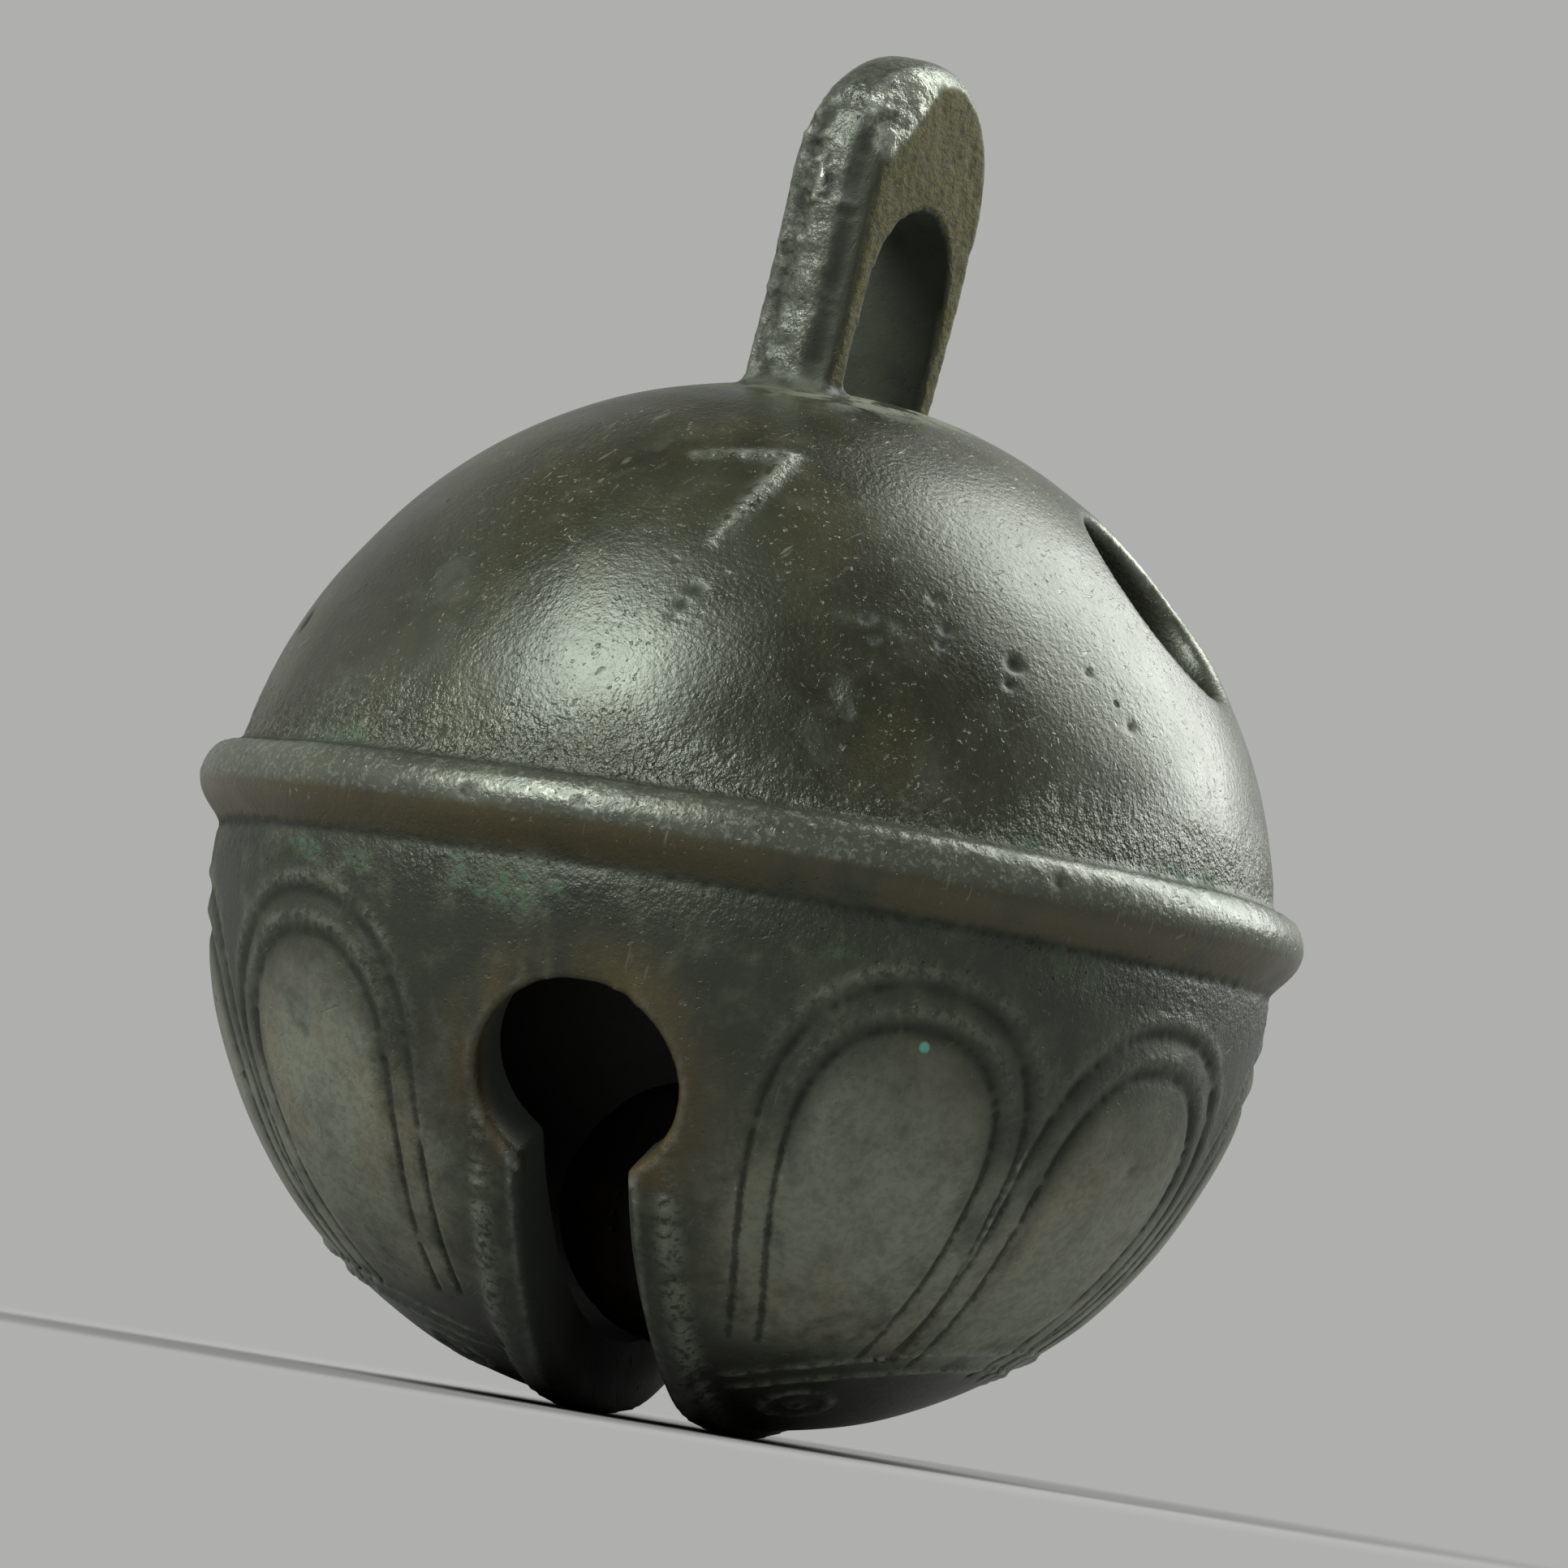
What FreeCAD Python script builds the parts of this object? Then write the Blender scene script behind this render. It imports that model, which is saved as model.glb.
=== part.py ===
"""A crotal bell: a ball-shaped bronze bell cast in one pour, with an iron pea loose inside it.

Millimetres and degrees. Z points up along the bell's axis. The origin is the top of the eye in
the hanging loop, where the cord or strap bears. The mouth slot runs along Y and the two sound
holes in the dome look along X.
"""

import FreeCAD, Part
import math
import os
from FreeCAD import Placement, Rotation, Vector

os.makedirs("parts", exist_ok=True)

# Driving sizes of the body: a dome set in a little from the bowl, whose bottom is slightly flattened
body_diameter = 40.0
dome_height = 18.0
dome_inset = 0.15
bowl_depth = 21.1
bowl_flat = 1.2
wall = 2.4

# Rib round the body, where the two halves of the mould met
rib_proud = 1.0
rib_height = 2.5
rib_bevel = 0.4

# Mouth: a slot under the bell between two round ends
slot_width = 4.1
keyhole_diameter = 7.6
keyhole_fall = 23.8
keyhole_bevel = 0.25

# Raised lips beside the slot: two crests that run out at the keyholes and roll into the slot
lip_spread = 7.2
lip_height = 0.95
lip_start = 33.0
lip_crest_round = 0.5
lip_side_slope = 25.0
lip_roll = 1.2
lip_worn = 0.6
lip_sole_radius = 30.0

# Sound holes in the dome
sound_hole_diameter = 8.2
sound_hole_rise = 44.0
sound_hole_bevel = 0.35

# Hanging loop, cast with the dome
loop_height = 12.8
loop_base_width = 8.8
loop_head_width = 9.6
loop_thickness = 3.6
loop_edge_round = 1.0
loop_root_blend = 0.45
loop_twist = 12.0
loop_lean = 5.0
eye_height = 7.2
eye_width = 6.2

# Loose pea and the gap left under it
pea_diameter = 10.0
pea_clearance = 0.3

# Every cutting tool runs this far past the metal
overrun = 5.0

# Places along the axis, worked out from the sizes above
rib_z = -(eye_height + dome_height)
dome_top_z = rib_z + dome_height
bowl_bottom_z = rib_z - bowl_depth
cavity_z = (dome_top_z + bowl_bottom_z) / 2
pea_orbit = (dome_height + bowl_depth) / 2 - wall - pea_diameter / 2 - pea_clearance

# Arcs of the outline, in the XZ plane
dome_radius = body_diameter / 2 - dome_inset
bowl_radius = body_diameter / 2 - bowl_flat
DOME_CENTRE = Vector(0, 0, dome_top_z - dome_radius)
BOWL_CENTRE = Vector(bowl_flat, 0, bowl_bottom_z + bowl_radius)

AXIS = Vector(0, 0, 1)
CAVITY_CENTRE = Vector(0, 0, cavity_z)
TOUCH = wall / 1000


def point_on(centre, radius, angle):
    """Point of a circle in the XZ plane, its angle counted from level and up."""
    turn = math.radians(angle)
    return centre + Vector(radius * math.cos(turn), 0, radius * math.sin(turn))


def arc(centre, radius, start, end):
    """Arc in the XZ plane from one angle to another."""
    places = [point_on(centre, radius, angle) for angle in (start, (start + end) / 2, end)]
    return Part.Arc(*places).toShape()


def turned(edges, centre=Vector(0, 0, 0), axis=AXIS):
    """Solid of revolution from a closed outline."""
    wire = Part.Wire(Part.__sortEdges__(edges))
    return Part.Face(wire).revolve(centre, axis, 360)


def line(start, end):
    return Part.LineSegment(start, end).toShape()


def level_angle(centre, radius, height):
    """Where an arc crosses a level, as an angle counted from level and up."""
    return math.degrees(math.asin((height - centre.z) / radius))


def chain(points):
    """Straight edges from point to point, where they are apart."""
    return [line(start, end) for start, end in zip(points, points[1:]) if start.distanceToPoint(end) > TOUCH]


def ball_outline(dome, bowl, bowl_centre, flank):
    """Closed outline of a dome arc and a bowl arc of the given radii, joined across the rib's height."""
    dome_end = level_angle(DOME_CENTRE, dome, rib_z + rib_height / 2)
    bowl_start = level_angle(bowl_centre, bowl, rib_z - rib_height / 2)
    top = point_on(DOME_CENTRE, dome, 90)
    bottom = point_on(bowl_centre, bowl, -90)
    side = [point_on(DOME_CENTRE, dome, dome_end)] + flank + [point_on(bowl_centre, bowl, bowl_start)]
    return ([arc(DOME_CENTRE, dome, 90, dome_end), arc(bowl_centre, bowl, bowl_start, -90)]
            + chain(side) + chain([bottom, Vector(0, 0, bottom.z), top]))


def ribbed_body():
    """Dome, rib and bowl as one outline turned about the axis, still solid."""
    rib_radius = body_diameter / 2 + rib_proud
    half = rib_height / 2
    upper = [Vector(rib_radius - rib_bevel, 0, rib_z + half), Vector(rib_radius, 0, rib_z + half - rib_bevel)]
    lower = [Vector(corner.x, 0, 2 * rib_z - corner.z) for corner in reversed(upper)]
    return turned(ball_outline(dome_radius, bowl_radius, BOWL_CENTRE, upper + lower))


def cavity():
    """Hollow left by the round core, which leaves the wall under the dome and above the mouth."""
    core = body_diameter / 2 - wall
    core_centre = Vector(0, 0, bowl_bottom_z + body_diameter / 2)
    return turned(ball_outline(dome_radius - wall, core, core_centre, []))


def lip_ring():
    """Radius and centre of the circle that both crests follow, across the bottom of the bell."""
    crest_x = lip_spread / 2
    start = point_on(BOWL_CENTRE, bowl_radius, -lip_start)
    start_y = math.sqrt(start.x ** 2 - crest_x ** 2)
    sink = math.sqrt(bowl_radius ** 2 - (crest_x - BOWL_CENTRE.x) ** 2)
    bottom_z = BOWL_CENTRE.z - sink - lip_height
    rise = start.z - bottom_z
    radius = (start_y ** 2 + rise ** 2) / (2 * rise)
    return radius, Vector(0, 0, bottom_z + radius)


def mirrored(edges):
    return [edge.mirror(Vector(0, 0, 0), Vector(1, 0, 0)) for edge in edges]


def lips():
    """Wheel across the bell whose rim stands proud below as two rounded, sloping lips, worn flatter at the bottom."""
    radius, centre = lip_ring()
    bottom_z = centre.z - radius
    crest = Vector(lip_spread / 2 - lip_crest_round, 0, bottom_z + lip_crest_round)
    rim = arc(crest, lip_crest_round, -90, -lip_side_slope)
    slope = math.radians(lip_side_slope)
    side_length = lip_height + wall
    top = crest + Vector(math.cos(slope), 0, -math.sin(slope)) * lip_crest_round
    foot = top + Vector(math.sin(slope), 0, math.cos(slope)) * side_length
    half = [rim, line(top, foot), line(foot, Vector(foot.x, 0, centre.z))]
    closing = [line(Vector(-crest.x, 0, bottom_z), Vector(crest.x, 0, bottom_z)),
               line(Vector(-foot.x, 0, centre.z), Vector(foot.x, 0, centre.z))]
    wheel = turned(half + mirrored(half) + closing, centre, Vector(1, 0, 0))
    sole_centre = Vector(-body_diameter / 2, 0, bottom_z + lip_worn + lip_sole_radius)
    return wheel.common(Part.makeCylinder(lip_sole_radius, body_diameter, sole_centre, Vector(1, 0, 0)))


def lip_rolls():
    """Flaring cutter that rounds the slot's edges under the bell and leaves them at the keyholes."""
    radius, centre = lip_ring()
    rise = lip_roll / (1 - math.sin(math.radians(lip_start)))
    cutter_centre = centre + AXIS * rise
    edge_z = centre.z - radius
    slot_x = slot_width / 2
    flare = arc(Vector(slot_x + lip_roll, 0, edge_z + lip_roll), lip_roll, 180, 270)
    outer_z = edge_z - overrun
    half = [flare, line(Vector(slot_x + lip_roll, 0, edge_z), Vector(slot_x + lip_roll, 0, outer_z))]
    closing = [line(Vector(-slot_x, 0, edge_z + lip_roll), Vector(slot_x, 0, edge_z + lip_roll)),
               line(Vector(-slot_x - lip_roll, 0, outer_z), Vector(slot_x + lip_roll, 0, outer_z))]
    ring = turned(half + mirrored(half) + closing, cutter_centre, Vector(1, 0, 0))
    reach = bowl_depth + overrun
    below = Part.makeBox(2 * reach, 2 * reach, reach, Vector(-reach, -reach, cavity_z - reach))
    return ring.common(below)


def loop_outline(base_half, head_half, head_z, foot_z):
    """Arch in the YZ plane: two sides that touch a round head."""
    span = math.hypot(base_half, head_z - foot_z)
    lean = math.atan2(base_half, head_z - foot_z) - math.asin(min(1, head_half / span))
    touch = Vector(0, head_half * math.cos(lean), head_z - head_half * math.sin(lean))
    other = Vector(0, -touch.y, touch.z)
    crown = Vector(0, 0, head_z + head_half)
    right_foot = Vector(0, base_half, foot_z)
    left_foot = Vector(0, -base_half, foot_z)
    return Part.Wire([Part.Arc(touch, crown, other).toShape(), line(other, left_foot),
                      line(left_foot, right_foot), line(right_foot, touch)])


def set_on_dome(shape):
    """Stands a piece of the loop on the dome's top, turned and leaning as the loop was cast."""
    lean = Rotation(Vector(0, 1, 0), loop_lean)
    stand = Placement(Vector(0, 0, dome_top_z), Rotation(AXIS, -loop_twist).multiply(lean))
    shape.Placement = stand.multiply(shape.Placement)
    return shape


def loop_plate():
    """Arched plate of the loop, before the eye is cut, with rounded rims."""
    head_half = loop_head_width / 2
    plate = Part.Face(loop_outline(loop_base_width / 2, head_half, loop_height - head_half, -wall / 2))
    plate = plate.extrude(Vector(loop_thickness, 0, 0))
    plate.translate(Vector(-loop_thickness / 2, 0, 0))
    rims = [edge for edge in plate.Edges
            if abs(edge.CenterOfMass.x) > loop_thickness / 2 - TOUCH and edge.BoundBox.ZMax > 0]
    return set_on_dome(plate.makeFillet(loop_edge_round, rims))


def loop_eye(body):
    """Cutter of the eye, which ends on the dome."""
    half = eye_width / 2
    eye = Part.Face(loop_outline(half, half, eye_height - half, -wall))
    eye = eye.extrude(Vector(loop_thickness + 2 * overrun, 0, 0))
    eye.translate(Vector(-loop_thickness / 2 - overrun, 0, 0))
    return set_on_dome(eye).cut(body)


def radial_bore(direction, diameter):
    """Round cutter from the cavity's centre out through the wall."""
    return Part.makeCylinder(diameter / 2, body_diameter / 2 + overrun, CAVITY_CENTRE, direction)


def keyhole_directions():
    fall = math.radians(keyhole_fall)
    return [Vector(0, side * math.cos(fall), -math.sin(fall)) for side in (-1, 1)]


def sound_hole_directions():
    rise = math.radians(sound_hole_rise)
    return [Vector(side * math.cos(rise), 0, math.sin(rise)) for side in (-1, 1)]


def reach_to(centre, radius, angle):
    """Distance from the cavity's centre to an arc of the outline, along a ray of the XZ plane."""
    ray = point_on(Vector(0, 0, 0), 1, angle)
    offset = centre - CAVITY_CENTRE
    along = offset.dot(ray)
    return along + math.sqrt(radius ** 2 - offset.Length ** 2 + along ** 2)


def bevel_cone(direction, diameter, bevel, surface):
    """Flaring cutter that takes the sharp edge off a bore at the outside of the bell."""
    rim = math.sqrt(surface ** 2 - (diameter / 2) ** 2)
    start = CAVITY_CENTRE + direction * (rim - bevel)
    length = bevel + overrun
    return Part.makeCone(diameter / 2, diameter / 2 + length, length, start, direction)


def mouth_slot():
    """Parallel cut from one keyhole, down through the bottom, to the other."""
    top_z = cavity_z - (body_diameter / 2 - wall) * math.sin(math.radians(keyhole_fall))
    bottom_z = bowl_bottom_z - lip_height - overrun
    return Part.makeBox(slot_width, body_diameter + 2 * overrun, top_z - bottom_z,
                        Vector(-slot_width / 2, -body_diameter / 2 - overrun, bottom_z))


def bores():
    """Cutters of the keyholes and the sound holes, each with its bevel."""
    keyhole = reach_to(BOWL_CENTRE, bowl_radius, -keyhole_fall)
    sound_hole = reach_to(DOME_CENTRE, dome_radius, sound_hole_rise)
    cutters = []
    for way in keyhole_directions():
        cutters += [radial_bore(way, keyhole_diameter), bevel_cone(way, keyhole_diameter, keyhole_bevel, keyhole)]
    for way in sound_hole_directions():
        cutters += [radial_bore(way, sound_hole_diameter),
                    bevel_cone(way, sound_hole_diameter, sound_hole_bevel, sound_hole)]
    return cutters


def points_on(edge):
    """A few points along an edge, or none for the point-like edge at a pole."""
    return [] if edge.Degenerated else edge.discretize(5)


def loop_root(shape):
    """Edges where the loop's plate meets the dome."""
    def on_foot(point):
        off_axis = math.hypot(point.x, point.y)
        return (abs(point.distanceToPoint(DOME_CENTRE) - dome_radius) < TOUCH
                and off_axis < loop_base_width and point.z > DOME_CENTRE.z)
    return [edge for edge in shape.Edges if points_on(edge) and all(map(on_foot, points_on(edge)))]


def bell_casting():
    """The whole pour: body, rib, lips and loop, hollowed and pierced."""
    body = ribbed_body()
    casting = body.fuse(loop_plate()).removeSplitter()
    casting = casting.makeFillet(loop_root_blend, loop_root(casting))
    casting = casting.cut(loop_eye(body)).fuse(lips()).removeSplitter()
    return casting.cut([cavity(), mouth_slot(), lip_rolls()] + bores())


def pea():
    """Iron ball at rest in the bottom of the cavity, too large for any opening."""
    return Part.makeSphere(pea_diameter / 2, CAVITY_CENTRE - AXIS * pea_orbit)


nodes = {"bell_casting": bell_casting, "pea": pea}
for name, build in nodes.items():
    shape = build()
    shape.exportStep(f"parts/{name}.step")
    print(name, "valid", shape.isValid(), "solids", len(shape.Solids), "faces", len(shape.Faces),
          "volume", round(shape.Volume, 1), "box", shape.BoundBox)
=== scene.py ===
import math

import bpy
import numpy as np
from mathutils import Matrix, Vector, noise
from mathutils.kdtree import KDTree


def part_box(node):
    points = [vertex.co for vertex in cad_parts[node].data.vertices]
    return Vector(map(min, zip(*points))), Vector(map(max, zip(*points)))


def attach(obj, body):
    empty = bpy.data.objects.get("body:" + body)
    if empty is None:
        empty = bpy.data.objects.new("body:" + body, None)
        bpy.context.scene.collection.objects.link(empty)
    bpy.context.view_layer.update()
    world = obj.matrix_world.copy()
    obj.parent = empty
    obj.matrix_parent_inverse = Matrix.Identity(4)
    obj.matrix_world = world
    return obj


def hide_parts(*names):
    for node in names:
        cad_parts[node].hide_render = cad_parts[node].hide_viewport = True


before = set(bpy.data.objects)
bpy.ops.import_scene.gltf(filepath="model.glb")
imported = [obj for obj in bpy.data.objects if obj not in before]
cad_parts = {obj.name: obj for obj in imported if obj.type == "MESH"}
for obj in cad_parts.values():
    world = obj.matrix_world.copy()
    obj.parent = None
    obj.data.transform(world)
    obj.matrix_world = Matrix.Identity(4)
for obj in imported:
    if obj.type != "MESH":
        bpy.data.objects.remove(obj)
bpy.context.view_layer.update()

# The bell's body: dome, rib and bowl of one bronze pour. The mould was turned, so the body is one
# outline spun about its axis. The rib marks where the two halves of the mould met, worn round.
MM = 0.001
BODY_RADIUS = 20.0 * MM
DOME_RADIUS = 19.85 * MM
BOWL_RADIUS = 18.8 * MM
BOWL_FLAT = 1.2 * MM
RIB_Z = -25.2 * MM
DOME_TOP_Z = -7.2 * MM
BOWL_BOTTOM_Z = -46.3 * MM
WALL = 2.4 * MM
RIB_PROUD = 1.0 * MM
RIB_HALF = 1.3 * MM
RIB_SKIRT = 2.1 * MM
RIB_SLOPE = 0.46
RIB_CORNER = 10
RIB_FALL = 1.35
RIB_GROUND = 0.17 * MM
BODY_STEPS = 256
HALF_STEPS = 72
RIB_STEPS = 28
MERGE = 0.0005 * MM
ACROSS = Vector((1, 0, 0))
AXIS = Vector((0, 0, 1))
dome_centre = Vector((0, 0, DOME_TOP_Z - DOME_RADIUS))
bowl_centre = Vector((BOWL_FLAT, 0, BOWL_BOTTOM_Z + BOWL_RADIUS))
cavity_centre = Vector((0, 0, (DOME_TOP_Z + BOWL_BOTTOM_Z) / 2))


def arc_points(centre, radius, start, end, count):
    """Points of an arc in the XZ plane, angles in degrees from level and up."""
    turns = [math.radians(start + (end - start) * step / count) for step in range(count + 1)]
    return [centre + Vector((radius * math.cos(turn), 0, radius * math.sin(turn))) for turn in turns]


def level_angle(centre, radius, height):
    return math.degrees(math.asin((height - centre.z) / radius))


def draw_line(name, points):
    """A new piece that is one line through the points, left in edit mode."""
    bpy.ops.object.select_all(action="DESELECT")
    bpy.ops.mesh.primitive_plane_add(size=MM)
    piece = bpy.context.object
    piece.name = name
    bpy.ops.object.mode_set(mode="EDIT")
    bpy.ops.mesh.select_all(action="SELECT")
    bpy.ops.mesh.merge(type="CENTER")
    bpy.ops.transform.translate(value=points[0])
    for here, there in zip(points, points[1:]):
        bpy.ops.mesh.extrude_region_move(TRANSFORM_OT_translate={"value": there - here})
    return piece


def turned(name, points, centre, axis, steps):
    """A closed solid spun from an outline."""
    piece = draw_line(name, points)
    bpy.ops.mesh.select_all(action="SELECT")
    bpy.ops.mesh.spin(steps=steps, angle=math.tau, center=centre, axis=axis)
    bpy.ops.mesh.select_all(action="SELECT")
    bpy.ops.mesh.remove_doubles(threshold=MERGE)
    bpy.ops.mesh.normals_make_consistent(inside=False)
    bpy.ops.object.mode_set(mode="OBJECT")
    return piece


def pick(piece):
    """Selects one piece alone and makes it the active one."""
    bpy.ops.object.select_all(action="DESELECT")
    piece.select_set(True)
    bpy.context.view_layer.objects.active = piece


def apply_modifier(piece, kind, **settings):
    """Adds one modifier to a piece and applies it."""
    pick(piece)
    modifier = piece.modifiers.new(kind.lower(), kind)
    for key, value in settings.items():
        setattr(modifier, key, value)
    bpy.ops.object.modifier_apply(modifier=modifier.name)
    return piece


def combine(piece, tool, operation):
    """Joins a solid to the piece or cuts it out, and clears the tool away."""
    apply_modifier(piece, "BOOLEAN", object=tool, operation=operation, solver="MANIFOLD")
    bpy.data.objects.remove(tool)


def rib_points(count):
    """The rib's outline, from the dome down to the bowl: a sloping upper face, a soft lower one."""
    points = []
    for step in range(1, count):
        level = 1 - 2 * step / count
        if level > 0:
            share = (1 - RIB_SLOPE * level ** 2) * math.sqrt(1 - level ** RIB_CORNER)
            height = RIB_Z + level * RIB_HALF
        else:
            share = 0.5 + 0.5 * math.cos(math.pi * abs(level) ** RIB_FALL)
            height = RIB_Z + level * RIB_SKIRT
        ground = BODY_RADIUS - RIB_GROUND * abs(level)
        points.append(Vector((ground + share * RIB_PROUD, 0, height)))
    return points


dome_end = level_angle(dome_centre, DOME_RADIUS, RIB_Z + RIB_HALF)
bowl_start = level_angle(bowl_centre, BOWL_RADIUS, RIB_Z - RIB_SKIRT)
body_outline = [*arc_points(dome_centre, DOME_RADIUS, 90, dome_end, HALF_STEPS), *rib_points(RIB_STEPS),
                *arc_points(bowl_centre, BOWL_RADIUS, bowl_start, -90, HALF_STEPS),
                Vector((0, 0, BOWL_BOTTOM_Z))]
bell = turned("bell", body_outline, (0, 0, 0), AXIS, BODY_STEPS)

# The hanging loop, cast with the dome: an arched plate with rounded rims, a little twisted and
# leaning, and an eye that a cord or strap passes through. It is drawn flat, thickened in steps
# that draw in towards both faces, and set on the dome as it was cast.
LOOP_HEIGHT = 13.0 * MM
LOOP_BASE_HALF = 4.6 * MM
LOOP_HEAD_HALF = 4.8 * MM
LOOP_THICKNESS = 3.7 * MM
LOOP_FLAT = 0.25
LOOP_RIM_STEPS = 6
LOOP_FACE_WIDTH = 0.88
LOOP_FACE_HEIGHT = 0.905
LOOP_TWIST = 12.0
LOOP_LEAN = 5.0
LOOP_SHIFT = 0.6 * MM
EYE_HEIGHT = 7.4 * MM
EYE_HALF = 3.05 * MM
FACET_WAY = Vector((0.68, -0.55, 0.48)).normalized()
FACET_REACH = 4.02 * MM
ARCH_STEPS = 64
EYE_STEPS = 48
loop_stand = (Matrix.Translation((0, 0, DOME_TOP_Z)) @ Matrix.Rotation(math.radians(-LOOP_TWIST), 4, "Z")
              @ Matrix.Rotation(math.radians(LOOP_LEAN), 4, "Y") @ Matrix.Translation((0, LOOP_SHIFT, 0)))


def arch_points(base_half, head_half, head_z, foot_z, count):
    """Arch in the YZ plane, from one foot over the round head to the other."""
    span = math.hypot(base_half, head_z - foot_z)
    lean = math.atan2(base_half, head_z - foot_z) - math.asin(min(1, head_half / span))
    points = [Vector((0, base_half, foot_z))]
    for step in range(count + 1):
        turn = -lean + (math.pi + 2 * lean) * step / count
        points.append(Vector((0, head_half * math.cos(turn), head_z + head_half * math.sin(turn))))
    return points + [Vector((0, -base_half, foot_z))]


def rim_steps(thickness):
    """Levels through the plate and how far its outline is drawn in there, as shares."""
    turns = [math.pi / 2 * step / LOOP_RIM_STEPS for step in range(LOOP_RIM_STEPS + 1)]
    half = [((LOOP_FLAT + (1 - LOOP_FLAT) * math.sin(turn)) * thickness / 2, 1 - math.cos(turn))
            for turn in turns]
    return [(-level, share) for level, share in reversed(half)] + half


def plate(name, points, levels):
    """An outline filled and thickened through the levels, its rings drawn in by their shares."""
    piece = draw_line(name, points)
    bpy.ops.mesh.select_all(action="SELECT")
    bpy.ops.mesh.edge_face_add()
    place, size = 0.0, (1.0, 1.0)
    for index, (level, share) in enumerate(levels):
        wanted = (1 - share * (1 - LOOP_FACE_WIDTH), 1 - share * (1 - LOOP_FACE_HEIGHT))
        if index:
            bpy.ops.mesh.extrude_region_move(TRANSFORM_OT_translate={"value": ACROSS * (level - place)})
        else:
            bpy.ops.transform.translate(value=ACROSS * level)
        bpy.ops.transform.resize(value=(1, wanted[0] / size[0], wanted[1] / size[1]),
                                 center_override=(0, 0, 0))
        place, size = level, wanted
    bpy.ops.mesh.select_all(action="SELECT")
    bpy.ops.mesh.normals_make_consistent(inside=False)
    bpy.ops.object.mode_set(mode="OBJECT")
    return piece


def set_in_place(piece, place):
    """Turns and moves a piece, and leaves its object at the origin."""
    piece.matrix_world = place
    pick(piece)
    bpy.ops.object.transform_apply(location=True, rotation=True, scale=True)
    return piece


loop_head_z = LOOP_HEIGHT - LOOP_HEAD_HALF
loop = plate("loop", arch_points(LOOP_BASE_HALF, LOOP_HEAD_HALF, loop_head_z, -WALL / 2, ARCH_STEPS),
             rim_steps(LOOP_THICKNESS))
eye = plate("eye", arch_points(EYE_HALF, EYE_HALF, EYE_HEIGHT - EYE_HALF, -WALL, EYE_STEPS),
            [(-2 * LOOP_THICKNESS, 0), (2 * LOOP_THICKNESS, 0)])
combine(loop, eye, "DIFFERENCE")
block = 4 * LOOP_HEAD_HALF
bpy.ops.object.select_all(action="DESELECT")
bpy.ops.mesh.primitive_cube_add(size=block, rotation=FACET_WAY.to_track_quat("Z", "Y").to_euler(),
                                location=AXIS * loop_head_z + FACET_WAY * (FACET_REACH + block / 2))
combine(loop, bpy.context.object, "DIFFERENCE")
set_in_place(loop, loop_stand)
combine(bell, loop, "UNION")

# The lips of the mouth: two rounded crests beside the slot, cast proud of the bowl. They follow
# one wheel set across the bottom of the bell, and run out into the bowl below the keyholes.
LIP_HALF = 3.6 * MM
LIP_HEIGHT = 0.95 * MM
LIP_START = 33.0
LIP_ROUND = 0.5 * MM
LIP_SLOPE = 25.0
LIP_WORN = 0.6 * MM
SOLE_RADIUS = 30.0 * MM
SOLE_STEPS = 512
lip_turn = math.radians(LIP_START)
lip_start = bowl_centre + Vector((math.cos(lip_turn), 0, -math.sin(lip_turn))) * BOWL_RADIUS
lip_start_y = math.sqrt(lip_start.x ** 2 - LIP_HALF ** 2)
lip_bottom_z = bowl_centre.z - math.sqrt(BOWL_RADIUS ** 2 - (LIP_HALF - BOWL_FLAT) ** 2) - LIP_HEIGHT
lip_rise = lip_start.z - lip_bottom_z
lip_wheel = (lip_start_y ** 2 + lip_rise ** 2) / (2 * lip_rise)
lip_centre = Vector((0, 0, lip_bottom_z + lip_wheel))


def lip_outline():
    """Half section of the wheel mirrored to a whole one, its ends on the wheel's own axis."""
    crest = Vector((LIP_HALF - LIP_ROUND, 0, lip_bottom_z + LIP_ROUND))
    slope = math.radians(LIP_SLOPE)
    rim = arc_points(crest, LIP_ROUND, -90, -LIP_SLOPE, 8)
    foot = rim[-1] + Vector((math.sin(slope), 0, math.cos(slope))) * (LIP_HEIGHT + WALL)
    half = rim + [foot, Vector((foot.x, 0, lip_centre.z))]
    return [Vector((-point.x, 0, point.z)) for point in reversed(half)] + half


lips = turned("lips", lip_outline(), lip_centre, ACROSS, BODY_STEPS)
bpy.ops.object.select_all(action="DESELECT")
bpy.ops.mesh.primitive_cylinder_add(vertices=SOLE_STEPS, radius=SOLE_RADIUS, depth=2 * BODY_RADIUS,
                                    location=(0, 0, lip_bottom_z + LIP_WORN + SOLE_RADIUS),
                                    rotation=(0, math.pi / 2, 0))
combine(lips, bpy.context.object, "INTERSECT")
combine(bell, lips, "UNION")

# The mouth and the sound holes, cut by the cores of the mould: a slot under the bell between two
# round keyholes, its edges rolled smooth, and one round hole in each side of the dome.
SLOT_HALF = 2.05 * MM
KEYHOLE_RADIUS = 3.8 * MM
KEYHOLE_FALL = 23.8
KEYHOLE_BEVEL = 0.25 * MM
SOUND_HOLE_RADIUS = 4.1 * MM
SOUND_HOLE_RISE = 44.0
SOUND_HOLE_BEVEL = 0.35 * MM
LIP_ROLL = 1.2 * MM
ROLL_START = 22.0
OVERRUN = 5 * MM
HOLE_STEPS = 96
core_radius = BODY_RADIUS - WALL


def reach_to(centre, radius, angle):
    """Distance from the middle of the cavity to an arc of the outline, along a ray."""
    ray = Vector((math.cos(math.radians(angle)), 0, math.sin(math.radians(angle))))
    offset = centre - cavity_centre
    along = offset.dot(ray)
    return along + math.sqrt(radius ** 2 - offset.length_squared + along ** 2)


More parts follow.
